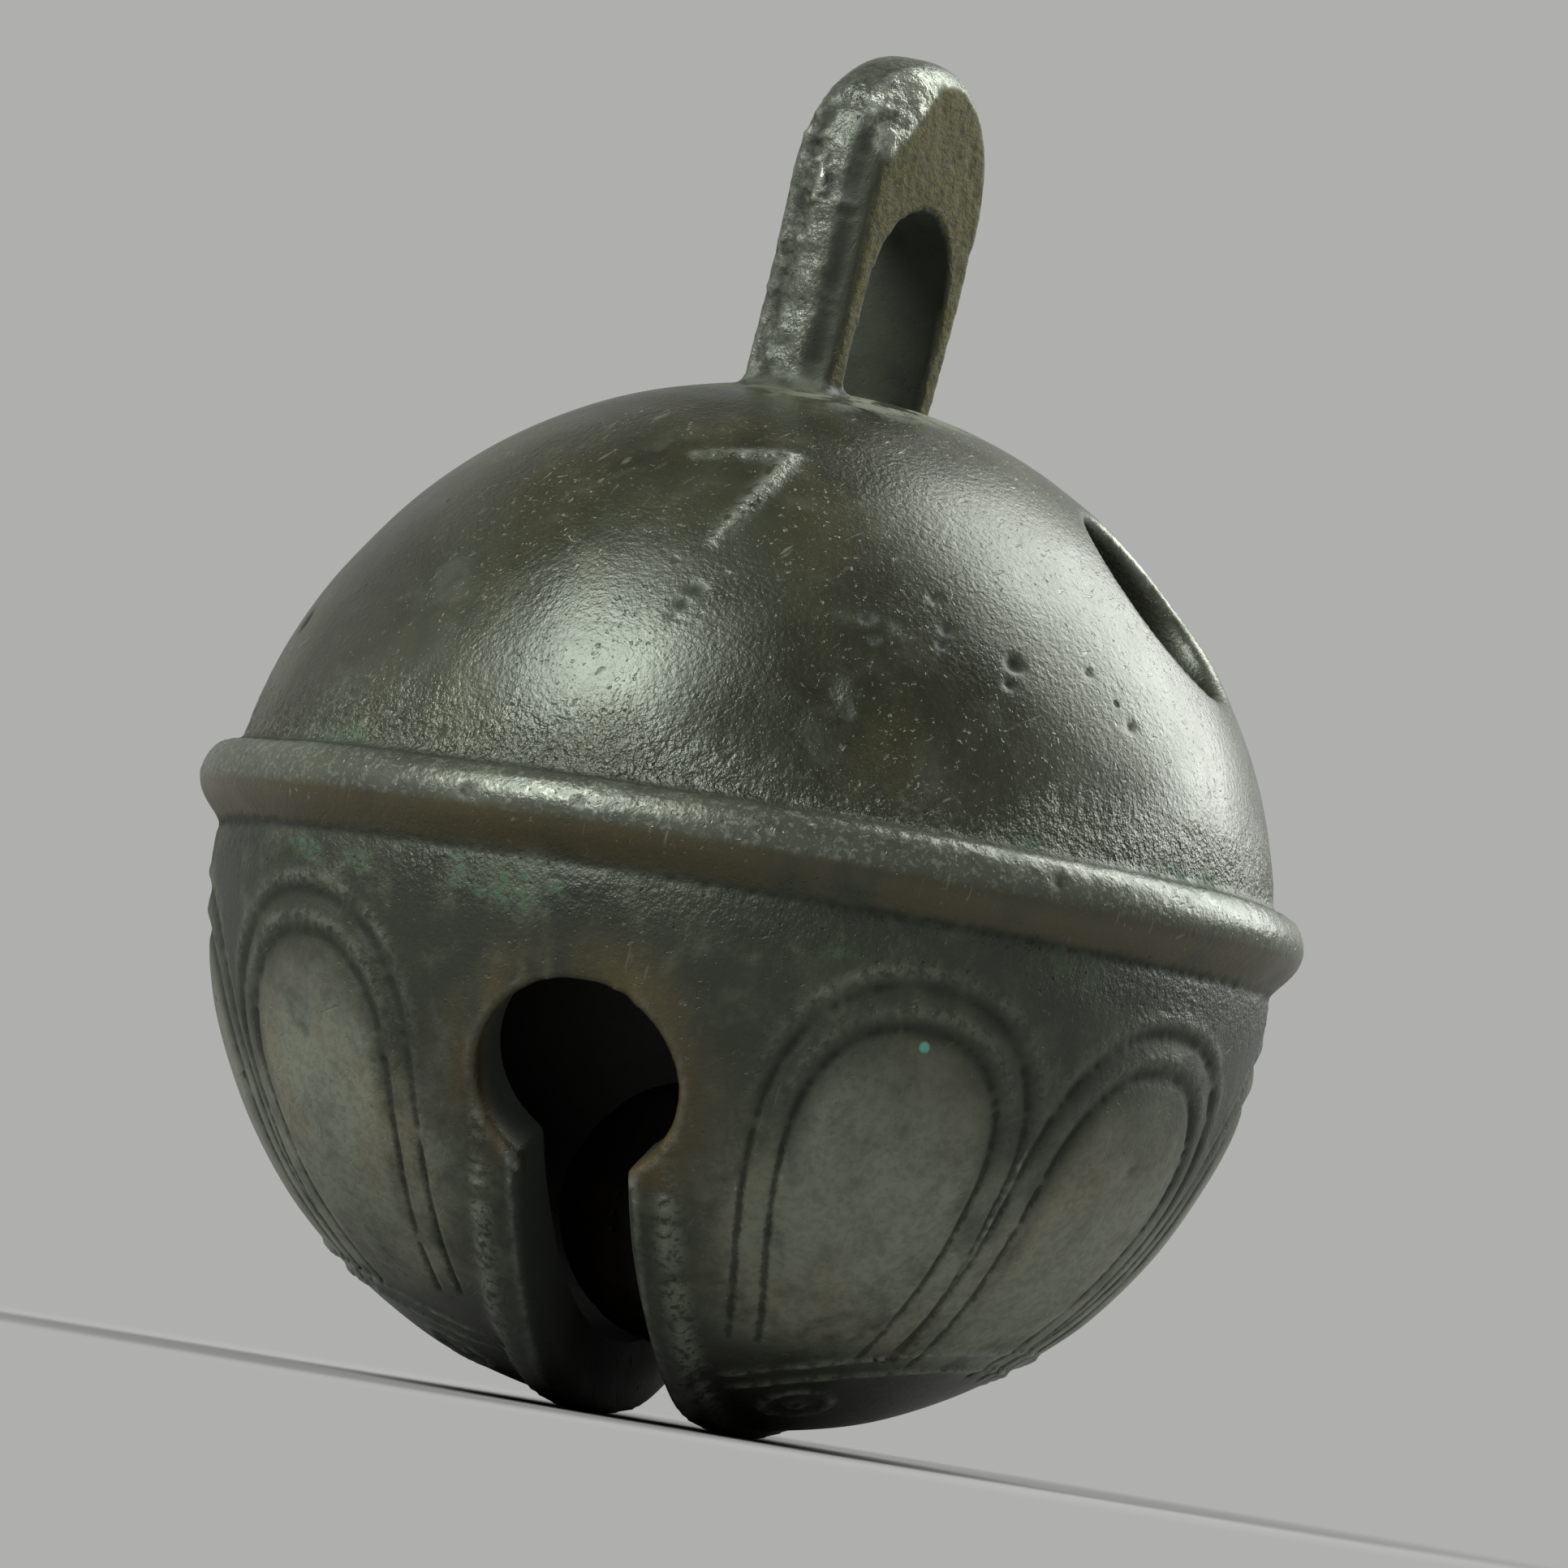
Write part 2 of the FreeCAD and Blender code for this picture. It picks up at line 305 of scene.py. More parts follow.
def bore(way, radius, bevel, surface):
    """Cuts one round hole out through the wall, with the edge of its mouth taken off."""
    turn = way.to_track_quat("Z", "Y").to_euler()
    length = BODY_RADIUS + OVERRUN
    bpy.ops.object.select_all(action="DESELECT")
    bpy.ops.mesh.primitive_cylinder_add(vertices=HOLE_STEPS, radius=radius, depth=length,
                                        location=cavity_centre + way * length / 2, rotation=turn)
    combine(bell, bpy.context.object, "DIFFERENCE")
    start = math.sqrt(surface ** 2 - radius ** 2) - bevel
    flare = bevel + OVERRUN
    bpy.ops.mesh.primitive_cone_add(vertices=HOLE_STEPS, radius1=radius, radius2=radius + flare,
                                    depth=flare, rotation=turn,
                                    location=cavity_centre + way * (start + flare / 2))
    combine(bell, bpy.context.object, "DIFFERENCE")


def roll_outline():
    """Closed section of the ring that rounds the slot's edges."""
    edge_z = lip_centre.z - lip_wheel
    half = arc_points(Vector((SLOT_HALF + LIP_ROLL, 0, edge_z + LIP_ROLL)), LIP_ROLL, 180, 270, 10)
    half.append(Vector((SLOT_HALF + LIP_ROLL, 0, edge_z - OVERRUN)))
    outline = [Vector((-point.x, 0, point.z)) for point in reversed(half)] + half
    return outline + [outline[0]]


for side in (-1, 1):
    fall, rise = math.radians(KEYHOLE_FALL), math.radians(SOUND_HOLE_RISE)
    bore(Vector((0, side * math.cos(fall), -math.sin(fall))), KEYHOLE_RADIUS, KEYHOLE_BEVEL,
         reach_to(bowl_centre, BOWL_RADIUS, -KEYHOLE_FALL))
    bore(Vector((side * math.cos(rise), 0, math.sin(rise))), SOUND_HOLE_RADIUS, SOUND_HOLE_BEVEL,
         reach_to(dome_centre, DOME_RADIUS, SOUND_HOLE_RISE))

slot_top_z = cavity_centre.z - core_radius * math.sin(math.radians(KEYHOLE_FALL))
slot_height = slot_top_z - BOWL_BOTTOM_Z + OVERRUN
bpy.ops.mesh.primitive_cube_add(size=1, location=(0, 0, slot_top_z - slot_height / 2),
                                scale=(2 * SLOT_HALF, 2 * BODY_RADIUS + 2 * OVERRUN, slot_height))
combine(bell, bpy.context.object, "DIFFERENCE")

roll_rise = LIP_ROLL / (1 - math.sin(math.radians(ROLL_START)))
rolls = turned("rolls", roll_outline(), lip_centre + AXIS * roll_rise, ACROSS, BODY_STEPS)
bpy.ops.object.mode_set(mode="EDIT")
bpy.ops.mesh.select_all(action="SELECT")
bpy.ops.mesh.bisect(plane_co=cavity_centre, plane_no=AXIS, use_fill=True, clear_outer=True)
bpy.ops.object.mode_set(mode="OBJECT")
combine(bell, rolls, "DIFFERENCE")

# The skin of the casting. Sand and long wear left no edge quite sharp: the whole pour is recast
# as one even skin of small faces and eased. It is hollowed by the round core only later.
SKIN = 0.21 * MM
apply_modifier(bell, "REMESH", mode="VOXEL", voxel_size=SKIN, adaptivity=0)
apply_modifier(bell, "SMOOTH", factor=0.5, iterations=4)

# The petals round the bowl: a traditional pattern of eight arches in two lines each, cut into the
# mould beside the slot and the holes. The lines are thin and crisp down the legs, and wide, soft
# and edged with a grainy ridge round the heads. The field inside each petal stands a little full.
PETALS = (37.4, 71.2, 107.2, 141.8, -37.2, -72.0, -107.2, -141.8)
PETAL_SHOULDER = -11.0 * MM
PETAL_FOOT = -17.7 * MM
PETAL_DRIFT = 5.5
PETAL_SPAN = 20
FIELD_RISE = 2.2
FOOT_FADE = 2.5 * MM
PETAL_SQUARE = 2.25
OUTER_ARCH = (16.3, 16.2, -4.25 * MM, 1.0)
INNER_ARCH = (12.5, 9.9, -5.75 * MM, 0.78)
OUTER_RIDGE = (18.0, 17.0, -3.65 * MM, 1.0)
INNER_RIDGE = (14.2, 12.5, -5.1 * MM, 0.9)
LEG_LINE = (0.125 * MM, 0.15 * MM)
HEAD_LINE = (0.3 * MM, 0.12 * MM)
HEAD_RIDGE = (0.28 * MM, 0.07 * MM)
RING_X = 5.0 * MM
RING_START = 4.3 * MM
RING_FADE = 0.8 * MM
RING_STEPS = 180
RINGS = (8.6 * MM, 7.6 * MM)
RING_RIDGE = (0.2 * MM, 0.13 * MM)
DOT_PLACE = (6.5 * MM, 5.2 * MM)
DOT_RING = 1.25 * MM
DEEPEST = 0.3 * MM
LEG_STEPS = 40
HEAD_STEPS = 60
LINE_SPACING = 0.08 * MM
HEAD_WIDENING = 0.7
LONG_WAVER = (1.3 * MM, 0.9)
SHORT_WAVER = (0.35 * MM, 0.5)
USUAL = 0.85
FAINTEST = 0.25


def on_bowl(bearing, height):
    """Point of the bowl's surface, at a bearing in degrees from the front and a height off the rib."""
    level = RIB_Z + height - bowl_centre.z
    reach = BOWL_FLAT + math.sqrt(BOWL_RADIUS ** 2 - level ** 2)
    turn = math.radians(bearing)
    return Vector((reach * math.sin(turn), -reach * math.cos(turn), RIB_Z + height))


def under_bowl(across, along):
    """Point of the bowl's surface, by its place in plan."""
    reach = max(0.0, math.hypot(across, along) - BOWL_FLAT)
    return Vector((across, along, bowl_centre.z - math.sqrt(BOWL_RADIUS ** 2 - reach ** 2)))


def petal_fall(height):
    """How far a height is down a petal's legs, which bend in faster and faster."""
    return max(0.0, (PETAL_SHOULDER - height) / (PETAL_SHOULDER - PETAL_FOOT)) ** 2


def petal_drift(bearing, drift_share):
    """How far the foot of an arch has drifted away from the slot, in degrees."""
    return PETAL_DRIFT * drift_share * math.cos(math.radians(bearing)) * math.copysign(1, bearing)


def petal_arch(bearing, half_top, half_foot, apex, drift_share):
    """One arch of a petal as bearings and heights, foot to foot, with how near the head each is."""
    def leg(side, height):
        fall = petal_fall(height)
        half = half_top + (half_foot - half_top) * fall
        return bearing + petal_drift(bearing, drift_share) * fall + side * half

    heights = [PETAL_FOOT + (PETAL_SHOULDER - PETAL_FOOT) * step / LEG_STEPS for step in range(LEG_STEPS)]
    places = [(leg(-1, height), height, 0.0) for height in heights]
    for step in range(HEAD_STEPS + 1):
        turn = math.pi * (1 - step / HEAD_STEPS)
        out = math.copysign(abs(math.cos(turn)) ** (2 / PETAL_SQUARE), math.cos(turn))
        rise = abs(math.sin(turn)) ** (2 / PETAL_SQUARE)
        places.append((bearing + half_top * out, PETAL_SHOULDER + (apex - PETAL_SHOULDER) * rise, rise))
    return places + [(leg(1, height), height, 0.0) for height in reversed(heights)]


def along_line(points):
    """A line's points filled in so that they lie close; each is a place, a width and a depth."""
    filled = []
    for (here, *old), (there, *new) in zip(points, points[1:]):
        count = max(1, math.ceil((there - here).length / LINE_SPACING))
        for step in range(count):
            share = step / count
            filled.append((here.lerp(there, share),
                           *[first + (last - first) * share for first, last in zip(old, new)]))
    return filled


def broken(place):
    """How strongly a line was pressed at a place: hand-cut lines come and go a little."""
    waver = sum(share * noise.noise(place / size) for size, share in (LONG_WAVER, SHORT_WAVER))
    return max(FAINTEST, min(1.0, USUAL + waver))


sunk_lines, raised_lines = [], []
for bearing in PETALS:
    for arch in (OUTER_ARCH, INNER_ARCH):
        line = []
        for place, height, head in petal_arch(bearing, *arch):
            width, depth = [leg + (top - leg) * head ** HEAD_WIDENING
                            for leg, top in zip(LEG_LINE, HEAD_LINE)]
            line.append((on_bowl(place, height), width, depth))
        sunk_lines += along_line(line)
    for arch in (OUTER_RIDGE, INNER_RIDGE):
        line = [(on_bowl(place, height), HEAD_RIDGE[0], HEAD_RIDGE[1] * head)
                for place, height, head in petal_arch(bearing, *arch)]
        raised_lines += along_line(line)


def plan_circle(centre_x, centre_y, radius, start_x=0):
    """A raised circle under the bowl, which fades out towards start_x, where the lip is."""
    line = []
    for step in range(RING_STEPS + 1):
        turn = math.tau * step / RING_STEPS
        x, y = centre_x + radius * math.cos(turn), centre_y + radius * math.sin(turn)
        fade = max(0.0, min(1.0, (abs(x) - start_x) / RING_FADE))
        line.append((under_bowl(x, y), RING_RIDGE[0], RING_RIDGE[1] * fade))
    return along_line(line)


# The crest of each lip is drawn a little higher than its casting, strongest halfway down.
LIP_CREST = (0.42 * MM, 0.2 * MM)
CREST_OUT = 1 + 0.98 * BOWL_FLAT / BOWL_RADIUS
CREST_START = 30
CREST_SWEEP = 48
CREST_STEPS = 60
CREST_LEAD = 6
CREST_SOFTNESS = 0.6
for side in (-1, 1):
    for end in (-1, 1):
        crest = []
        for step in range(CREST_STEPS + 1):
            reach = end * BOWL_RADIUS * math.cos(math.radians(CREST_START + CREST_SWEEP * step / CREST_STEPS))
            share = min(1.0, (step + CREST_LEAD) / (CREST_STEPS + CREST_LEAD))
            height = LIP_CREST[1] * math.sin(math.pi * share) ** CREST_SOFTNESS
            crest.append((under_bowl(side * LIP_HALF, reach * CREST_OUT), LIP_CREST[0], height))
        raised_lines += along_line(crest)
for side in (-1, 1):
    for radius in RINGS:
        raised_lines += plan_circle(side * RING_X, 0, radius, RING_START)
    for end in (-1, 1):
        for radius in (DOT_RING, DOT_RING / 5):
            raised_lines += plan_circle(side * DOT_PLACE[0], end * DOT_PLACE[1], radius)

# The size number on the dome, a plain numeral in thin rough strokes that stand proud. It was
# scratched into the mould by hand.
NUMERAL = ((-5.5, 13.9), (10.5, 14.4), (8.5, 13.2), (4.0, 10.7))
NUMERAL_STROKE = (0.33 * MM, 0.15 * MM)


def on_dome(bearing, height):
    """Point of the dome's surface, at a bearing in degrees from the front and a height off the rib."""
    level = RIB_Z + height - dome_centre.z
    reach = math.sqrt(DOME_RADIUS ** 2 - level ** 2)
    turn = math.radians(bearing)
    return Vector((reach * math.sin(turn), -reach * math.cos(turn), RIB_Z + height))


raised_lines += along_line([(on_dome(bearing, height * MM), *NUMERAL_STROKE)
                            for bearing, height in NUMERAL])

# On the narrow sides of the loop a shallow valley runs beside the face, and one side has the
# ring of a burst blister.
VALLEY = (0.5 * MM, 0.16 * MM)
VALLEY_X = 1.05 * MM
VALLEY_FOOT = 0.5 * MM
VALLEY_TOP = 2 * MM
BLISTER_PLACE = (-0.7 * MM, 7.35 * MM)
BLISTER_HALVES = (0.46 * MM, 0.78 * MM)
BLISTER_RIM = (0.13 * MM, 0.13 * MM)
BLISTER_STEPS = 40
for across in (-VALLEY_X, VALLEY_X):
    arch = arch_points(LOOP_BASE_HALF, LOOP_HEAD_HALF, loop_head_z, VALLEY_FOOT, ARCH_STEPS)
    for side in (-1, 1):
        valley = [(loop_stand @ (point + ACROSS * across), *VALLEY) for point in arch
                  if side * point.y > 0 and point.z < loop_head_z + VALLEY_TOP]
        sunk_lines += along_line(sorted(valley, key=lambda entry: entry[0].z))
blister = []
for step in range(BLISTER_STEPS + 1):
    turn = math.tau * step / BLISTER_STEPS
    across = BLISTER_PLACE[0] + BLISTER_HALVES[0] * math.cos(turn)
    height = BLISTER_PLACE[1] + BLISTER_HALVES[1] * math.sin(turn)
    edge = -math.sqrt(LOOP_HEAD_HALF ** 2 - max(0.0, height - loop_head_z) ** 2)
    blister.append((loop_stand @ Vector((across, edge, height)), *BLISTER_RIM))
raised_lines += along_line(blister)

# The lines are pressed into the skin: it is made finer beside them, then sunk or raised.
LINE_REACH = 0.55 * MM
SPREAD = 2.5
LEAST_PRESS = 0.002
LEAST_SWELL = 0.01


def line_tree(lines):
    """The places of the lines, sorted for a quick search of the nearest."""
    tree = KDTree(len(lines))
    for index, line in enumerate(lines):
        tree.insert(line[0], index)
    tree.balance()
    return tree


def nearest(lines, places):
    """For each place, how deep the nearest line presses there."""
    tree = line_tree(lines)
    pressed = np.zeros(len(places))
    for index, place in enumerate(places):
        spot, which, gap = tree.find(place)
        width, depth = lines[which][1:]
        if gap < SPREAD * width:
            pressed[index] = math.exp(-(gap / width) ** 2) * depth * broken(spot)
    return pressed


def vertex_numbers(piece, what):
    """The places ("co") or the normals ("normal") of a piece's vertices, one row each."""
    flat = np.empty(len(piece.data.vertices) * 3)
    piece.data.vertices.foreach_get(what, flat)
    return flat.reshape(-1, 3)


def displace(piece, name, shares, least, **settings):
    """Moves the skin along its normals, by a share at each vertex if shares are given."""
    if shares is not None:
        group = piece.vertex_groups.new(name=name)
        for index in np.nonzero(shares > least)[0]:
            group.add([int(index)], min(1.0, float(shares[index])), "REPLACE")
        settings["vertex_group"] = name
    apply_modifier(piece, "DISPLACE", direction="NORMAL", **settings)
    if shares is not None:
        piece.vertex_groups.remove(piece.vertex_groups[name])


def press(piece, name, depths, way):
    """Sinks the skin (way -1) or raises it (way 1) by a depth at each vertex."""
    displace(piece, name, depths / DEEPEST, LEAST_PRESS, mid_level=0, strength=way * DEEPEST)


def swell(piece, name, size, strength, shares=None, depth=2):
    """Uneven swelling of the skin by clouds of a size."""
    clouds = bpy.data.textures.new(name, "CLOUDS")
    clouds.noise_scale = size
    clouds.noise_depth = depth
    displace(piece, name, shares, LEAST_SWELL, texture=clouds, texture_coords="LOCAL",
             mid_level=0.5, strength=strength)


def refine_near(piece, lines, reach):
    """Splits the faces of the skin that lie near the lines."""
    tree = line_tree(lines)
    pick(piece)
    bpy.ops.object.mode_set(mode="EDIT")
    bpy.ops.mesh.select_mode(type="VERT")
    bpy.ops.mesh.select_all(action="DESELECT")
    bpy.ops.object.mode_set(mode="OBJECT")
    marks = [tree.find(place)[2] < reach for place in vertex_numbers(piece, "co")]
    piece.data.vertices.foreach_set("select", marks)
    bpy.ops.object.mode_set(mode="EDIT")
    bpy.ops.mesh.select_mode(type="VERT")
    bpy.ops.mesh.subdivide(number_cuts=1)
    bpy.ops.mesh.select_all(action="SELECT")
    bpy.ops.object.mode_set(mode="OBJECT")


refine_near(bell, [line for line in sunk_lines + raised_lines if line[2] > 0], LINE_REACH)
places = vertex_numbers(bell, "co")
press(bell, "sunk", nearest(sunk_lines, places), -1)
press(bell, "raised", nearest(raised_lines, places), 1)


def petal_field(place):
    """How far inside a petal's field a place lies, from 0 at its inner line to 1."""
    bearing = math.degrees(math.atan2(place[0], -place[1]))
    height = place[2] - RIB_Z
    half_top, half_foot, apex, drift_share = INNER_ARCH
    if height > apex or height < PETAL_FOOT:
        return 0.0
    best = 0.0
    for petal in PETALS:
        if abs(bearing - petal) > PETAL_SPAN:
            continue
        fall = petal_fall(height)
        half = half_top + (half_foot - half_top) * fall
        rise = max(0.0, (height - PETAL_SHOULDER) / (apex - PETAL_SHOULDER))
        side = abs(bearing - petal - petal_drift(petal, drift_share) * fall) / half
        best = max(best, 1 - (side ** PETAL_SQUARE + rise ** PETAL_SQUARE))
    return max(0.0, min(1.0, best * FIELD_RISE)) * min(1.0, (height - PETAL_FOOT) / FOOT_FADE)


# Wear and casting faults: a hand-made mould leaves the body a little uneven, the sand left coarse
# grain beside the rib and lumps down the narrow sides of the loop, and use left dents. Each dent
# has its bearing in degrees, and its height over the rib's middle, width and depth in mm.
DENTS = (
    (21.5, 5.8, 0.75, 0.1), (23.5, 5.2, 0.3, 0.07), (44.5, 8.0, 0.3, 0.14), (43.4, 7.2, 0.2, 0.1),
    (35.5, 8.8, 0.24, 0.09), (34.8, 8.2, 0.2, 0.07), (3.4, 8.7, 0.3, 0.09), (2.4, 8.1, 0.24, 0.08),
    (1.6, 7.6, 0.18, 0.05), (34.1, 9.9, 0.2, 0.08), (25.2, 8.7, 0.28, 0.08), (26.2, 8.0, 0.2, 0.06),
    (28.9, 8.7, 0.2, 0.05), (61.5, 6.6, 0.24, 0.07), (56.0, 8.3, 0.18, 0.08), (-21.6, 2.1, 0.22, 0.08),
    (-14.3, 0.1, 0.2, 0.16), (-1.9, 0.3, 0.18, 0.12), (47.9, 0.4, 0.3, 0.12), (18.3, 1.4, 0.3, 0.06),
    (108.0, 9.0, 0.5, 0.09), (150.0, 6.5, 0.6, 0.1), (-96.0, 10.5, 0.4, 0.09), (-140.0, 4.5, 0.5, 0.1),
    (178.0, 11.0, 0.4, 0.08), (-62.0, 6.0, 0.4, 0.07), (-118.0, 0.2, 0.3, 0.12),
    (128.0, -0.2, 0.25, 0.12))
DENT_SHARE = 0.9
DENT_DEPTH = 1.5
SMALL_DENT = 0.4 * MM
RAGGED_SHARE = 0.45
RAGGED_SIZE = 0.5 * MM
RIB_CREST = BODY_RADIUS + RIB_PROUD
PETAL_FULLNESS = 0.07 * MM
DOT_HEIGHT = -9.3 * MM
DOT_TURN = 1
PETAL_DOT = (0.42 * MM, 0.12 * MM)
pillow = np.array([petal_field(place) for place in places])
press(bell, "full", pillow * PETAL_FULLNESS, 1)


def dent_place(bearing, height):
    """Where a dent lies: on the dome, or on the rib's crest if it is as low as that."""
    if height > RIB_HALF:
        return on_dome(bearing, height)
    turn = math.radians(bearing)
    return Vector((RIB_CREST * math.sin(turn), -RIB_CREST * math.cos(turn), RIB_Z + height))


dents = [(dent_place(bearing, height * MM), width * DENT_SHARE * MM, depth * DENT_DEPTH * MM)
         for bearing, height, width, depth in DENTS]
dents += [(on_bowl(bearing + math.copysign(DOT_TURN, bearing), DOT_HEIGHT), *PETAL_DOT)
          for bearing in PETALS]


def spot_depths(spots, places):
    """How deep the dents press each place; their outlines are a little ragged."""
    pressed = np.zeros(len(places))
    for spot, width, depth in spots:
        gaps = np.linalg.norm(places - np.array(spot), axis=1)
        for index in np.nonzero(gaps < SPREAD * width)[0]:
            rough_edge = 1 + RAGGED_SHARE * noise.noise(Vector(places[index]) / RAGGED_SIZE)
            share = math.exp(-(gaps[index] / (width * rough_edge)) ** 2)
            pressed[index] = max(pressed[index], share * depth)
    return pressed


press(bell, "dents", spot_depths(dents, places), -1)


def smooth_step(low, high, values):
    """0 at low, 1 at high, smooth between; low may be the larger."""
    share = np.clip((values - low) / (high - low), 0, 1)
    return share * share * (3 - 2 * share)


# Where the faults lie. Above LOOP_LEVEL over the rib, only the loop stands out of the dome.
LOOP_LEVEL = 12 * MM
BESIDE_RIB = 18 * MM
FACE_TURN = (0.72, 0.9)
SIDE_TURN = (0.55, 0.9)
STRIP_SHARE = 0.85


def above_dome(spots):
    """How far each place stands out of the dome."""
    return np.linalg.norm(spots - np.array(dome_centre), axis=1) - DOME_RADIUS


def in_loop(spots):
    """The places in the loop's own frame, in which it is upright and its faces look along X."""
    turned_back = np.array(loop_stand.inverted().to_3x3())
    return (turned_back @ (spots - np.array(loop_stand.translation)).T).T


def face_turn(piece):
    """How squarely the skin looks along the loop's thickness: 1 on its faces, 0 on its edges."""
    return np.abs(vertex_numbers(piece, "normal") @ np.array(loop_stand.to_3x3() @ ACROSS))


def toward_facet(flat):
    """How far a place in the loop's frame lies from the head's middle on the way to the facet."""
    return (flat - np.array((0, 0, loop_head_z))) @ np.array(FACET_WAY)


off_axis = np.hypot(places[:, 0], places[:, 1])
heights = places[:, 2] - RIB_Z
on_loop = smooth_step(0.15 * MM, 0.7 * MM, above_dome(places)) * (heights > LOOP_LEVEL)
loop_places = in_loop(places)
facing = face_turn(bell)
loop_face = on_loop * smooth_step(*FACE_TURN, facing)
narrow = on_loop * (1 - smooth_step(*SIDE_TURN, facing))
narrow *= smooth_step(0, 0.6 * MM, np.abs(loop_places[:, 1]) - EYE_HALF)
narrow *= 1 - STRIP_SHARE * smooth_step(0.45 * MM, 0.85 * MM, loop_places[:, 0])
facet = on_loop * smooth_step(FACET_REACH - 0.35 * MM, FACET_REACH - 0.1 * MM, toward_facet(loop_places))
over_rib = np.exp(-((heights - 1.9 * MM) / (1.5 * MM)) ** 2)
under_rib = np.exp(-((heights + 2.6 * MM) / (0.9 * MM)) ** 2)
beside_rib = np.clip(over_rib + 0.8 * under_rib, 0, 1) * (off_axis > BESIDE_RIB)
swell(bell, "hand", 7 * MM, 0.22 * MM, depth=1)
swell(bell, "sand", 0.34 * MM, 0.15 * MM, beside_rib)
swell(bell, "lumps", 0.65 * MM, 0.42 * MM, narrow, depth=3)
swell(bell, "hammer", 0.45 * MM, 0.3 * MM, facet)
swell(bell, "face", 0.5 * MM, 0.12 * MM, loop_face)

# The hollow in which the pea rolls, left by the round core.
CORE_STEPS = 24
CORE_TURNS = 96
core_centre = Vector((0, 0, BOWL_BOTTOM_Z + BODY_RADIUS))
inside_radius = DOME_RADIUS - WALL
inside_end = level_angle(dome_centre, inside_radius, RIB_Z)
core_start = level_angle(core_centre, core_radius, RIB_Z)
core_outline = (arc_points(dome_centre, inside_radius, 90, inside_end, CORE_STEPS)
                + arc_points(core_centre, core_radius, core_start, -90, CORE_STEPS))
core = turned("core", core_outline, (0, 0, 0), AXIS, CORE_TURNS)
combine(bell, core, "DIFFERENCE")

# The pour is shown as two pieces that meet in the sharp corner above the rib: the dome with its
# loop, and the bowl with the rib and the lips. Both are closed, and the fuller one is thinned.
SEAM_Z = RIB_Z + RIB_HALF
PIECE_FACES = 195000
SHARP_ANGLE = 50


def half_of_bell(name, side):
    """A copy of the bell cut off at the seam."""
    pick(bell)
    bpy.ops.object.duplicate()
    half = bpy.context.object
    half.name = name
    reach = 4 * BODY_RADIUS
    bpy.ops.object.select_all(action="DESELECT")
    bpy.ops.mesh.primitive_cube_add(size=reach, location=(0, 0, SEAM_Z - side * reach / 2))
    combine(half, bpy.context.object, "DIFFERENCE")
    faces = sum(len(polygon.vertices) - 2 for polygon in half.data.polygons)
    if faces > PIECE_FACES:
        apply_modifier(half, "DECIMATE", ratio=PIECE_FACES / faces)
    pick(half)
    bpy.ops.object.shade_smooth_by_angle(angle=math.radians(SHARP_ANGLE))
    return half


upper = half_of_bell("bell_dome", 1)
lower = half_of_bell("bell_bowl", -1)
bpy.data.objects.remove(bell)


def curve_of(piece, rounds):
    """How sharply the skin curves out (plus) or in (minus) at each vertex, as 1 over a radius."""
    spots = vertex_numbers(piece, "co")
    ends = np.empty(len(piece.data.edges) * 2, np.int32)
    piece.data.edges.foreach_get("vertices", ends)
    count = np.maximum(np.bincount(ends, minlength=len(spots)), 1)
    first, second = ends.reshape(-1, 2).T

    def mean_about(at_first, at_second):
        """The mean at each vertex of what its edges bring from either end."""
        return (np.bincount(first, at_first, len(spots)) + np.bincount(second, at_second, len(spots))) / count

    middle = np.stack([mean_about(column[second], column[first]) for column in spots.T], 1)
    squares = ((spots[first] - spots[second]) ** 2).sum(1)
    stand = ((spots - middle) * vertex_numbers(piece, "normal")).sum(1)
    bend = 2 * stand / mean_about(squares, squares)
    for _ in range(rounds):
        bend = 0.5 * bend + 0.5 * mean_about(bend[second], bend[first])
    return bend


def keyhole_gaps(spots):
    """How far each place lies outside the nearer of the two keyholes."""
    fall = math.radians(KEYHOLE_FALL)
    nearest_gap = np.full(len(spots), 1.0)
    for side in (-1, 1):
        way = np.array((0, side * math.cos(fall), -math.sin(fall)))
        reach = spots - np.array(cavity_centre)
        along = reach @ way
        gap = np.linalg.norm(reach - along[:, None] * way, axis=1) - KEYHOLE_RADIUS
        nearest_gap = np.minimum(nearest_gap, np.where(along > 0, gap, 1.0))
    return nearest_gap


# The masks tell the material where the lines, petal fields, worn edges, stains, the loop's sawn
# faces, the crevices and the hollow are; the crevices and the hollow carry painted shade. Each is kept on the
# skin as a number from 0 to 1.
CURVE_ROUNDS = 5
POCK_DEPTH = 0.08 * MM
WORN_BEND = (450, 1700)
CREVICE_BEND = (150, 900)
CORNER_WIDTH = 0.13 * MM
SAWN_TURN = (0.86, 0.95)
OFF_FACE_TURN = (0.86, 0.93)
OFF_SEAM = (0.25 * MM, 0.6 * MM)
BELOW_RIB = -3 * MM
SLOT_LEVEL = -13 * MM
LOW_BAND = (-16.6 * MM, -18.2 * MM)
STAIN_REACH = (2.6 * MM, 0.4 * MM)
HOLLOW_DEPTH = (0.35 * MM, 1.6 * MM)


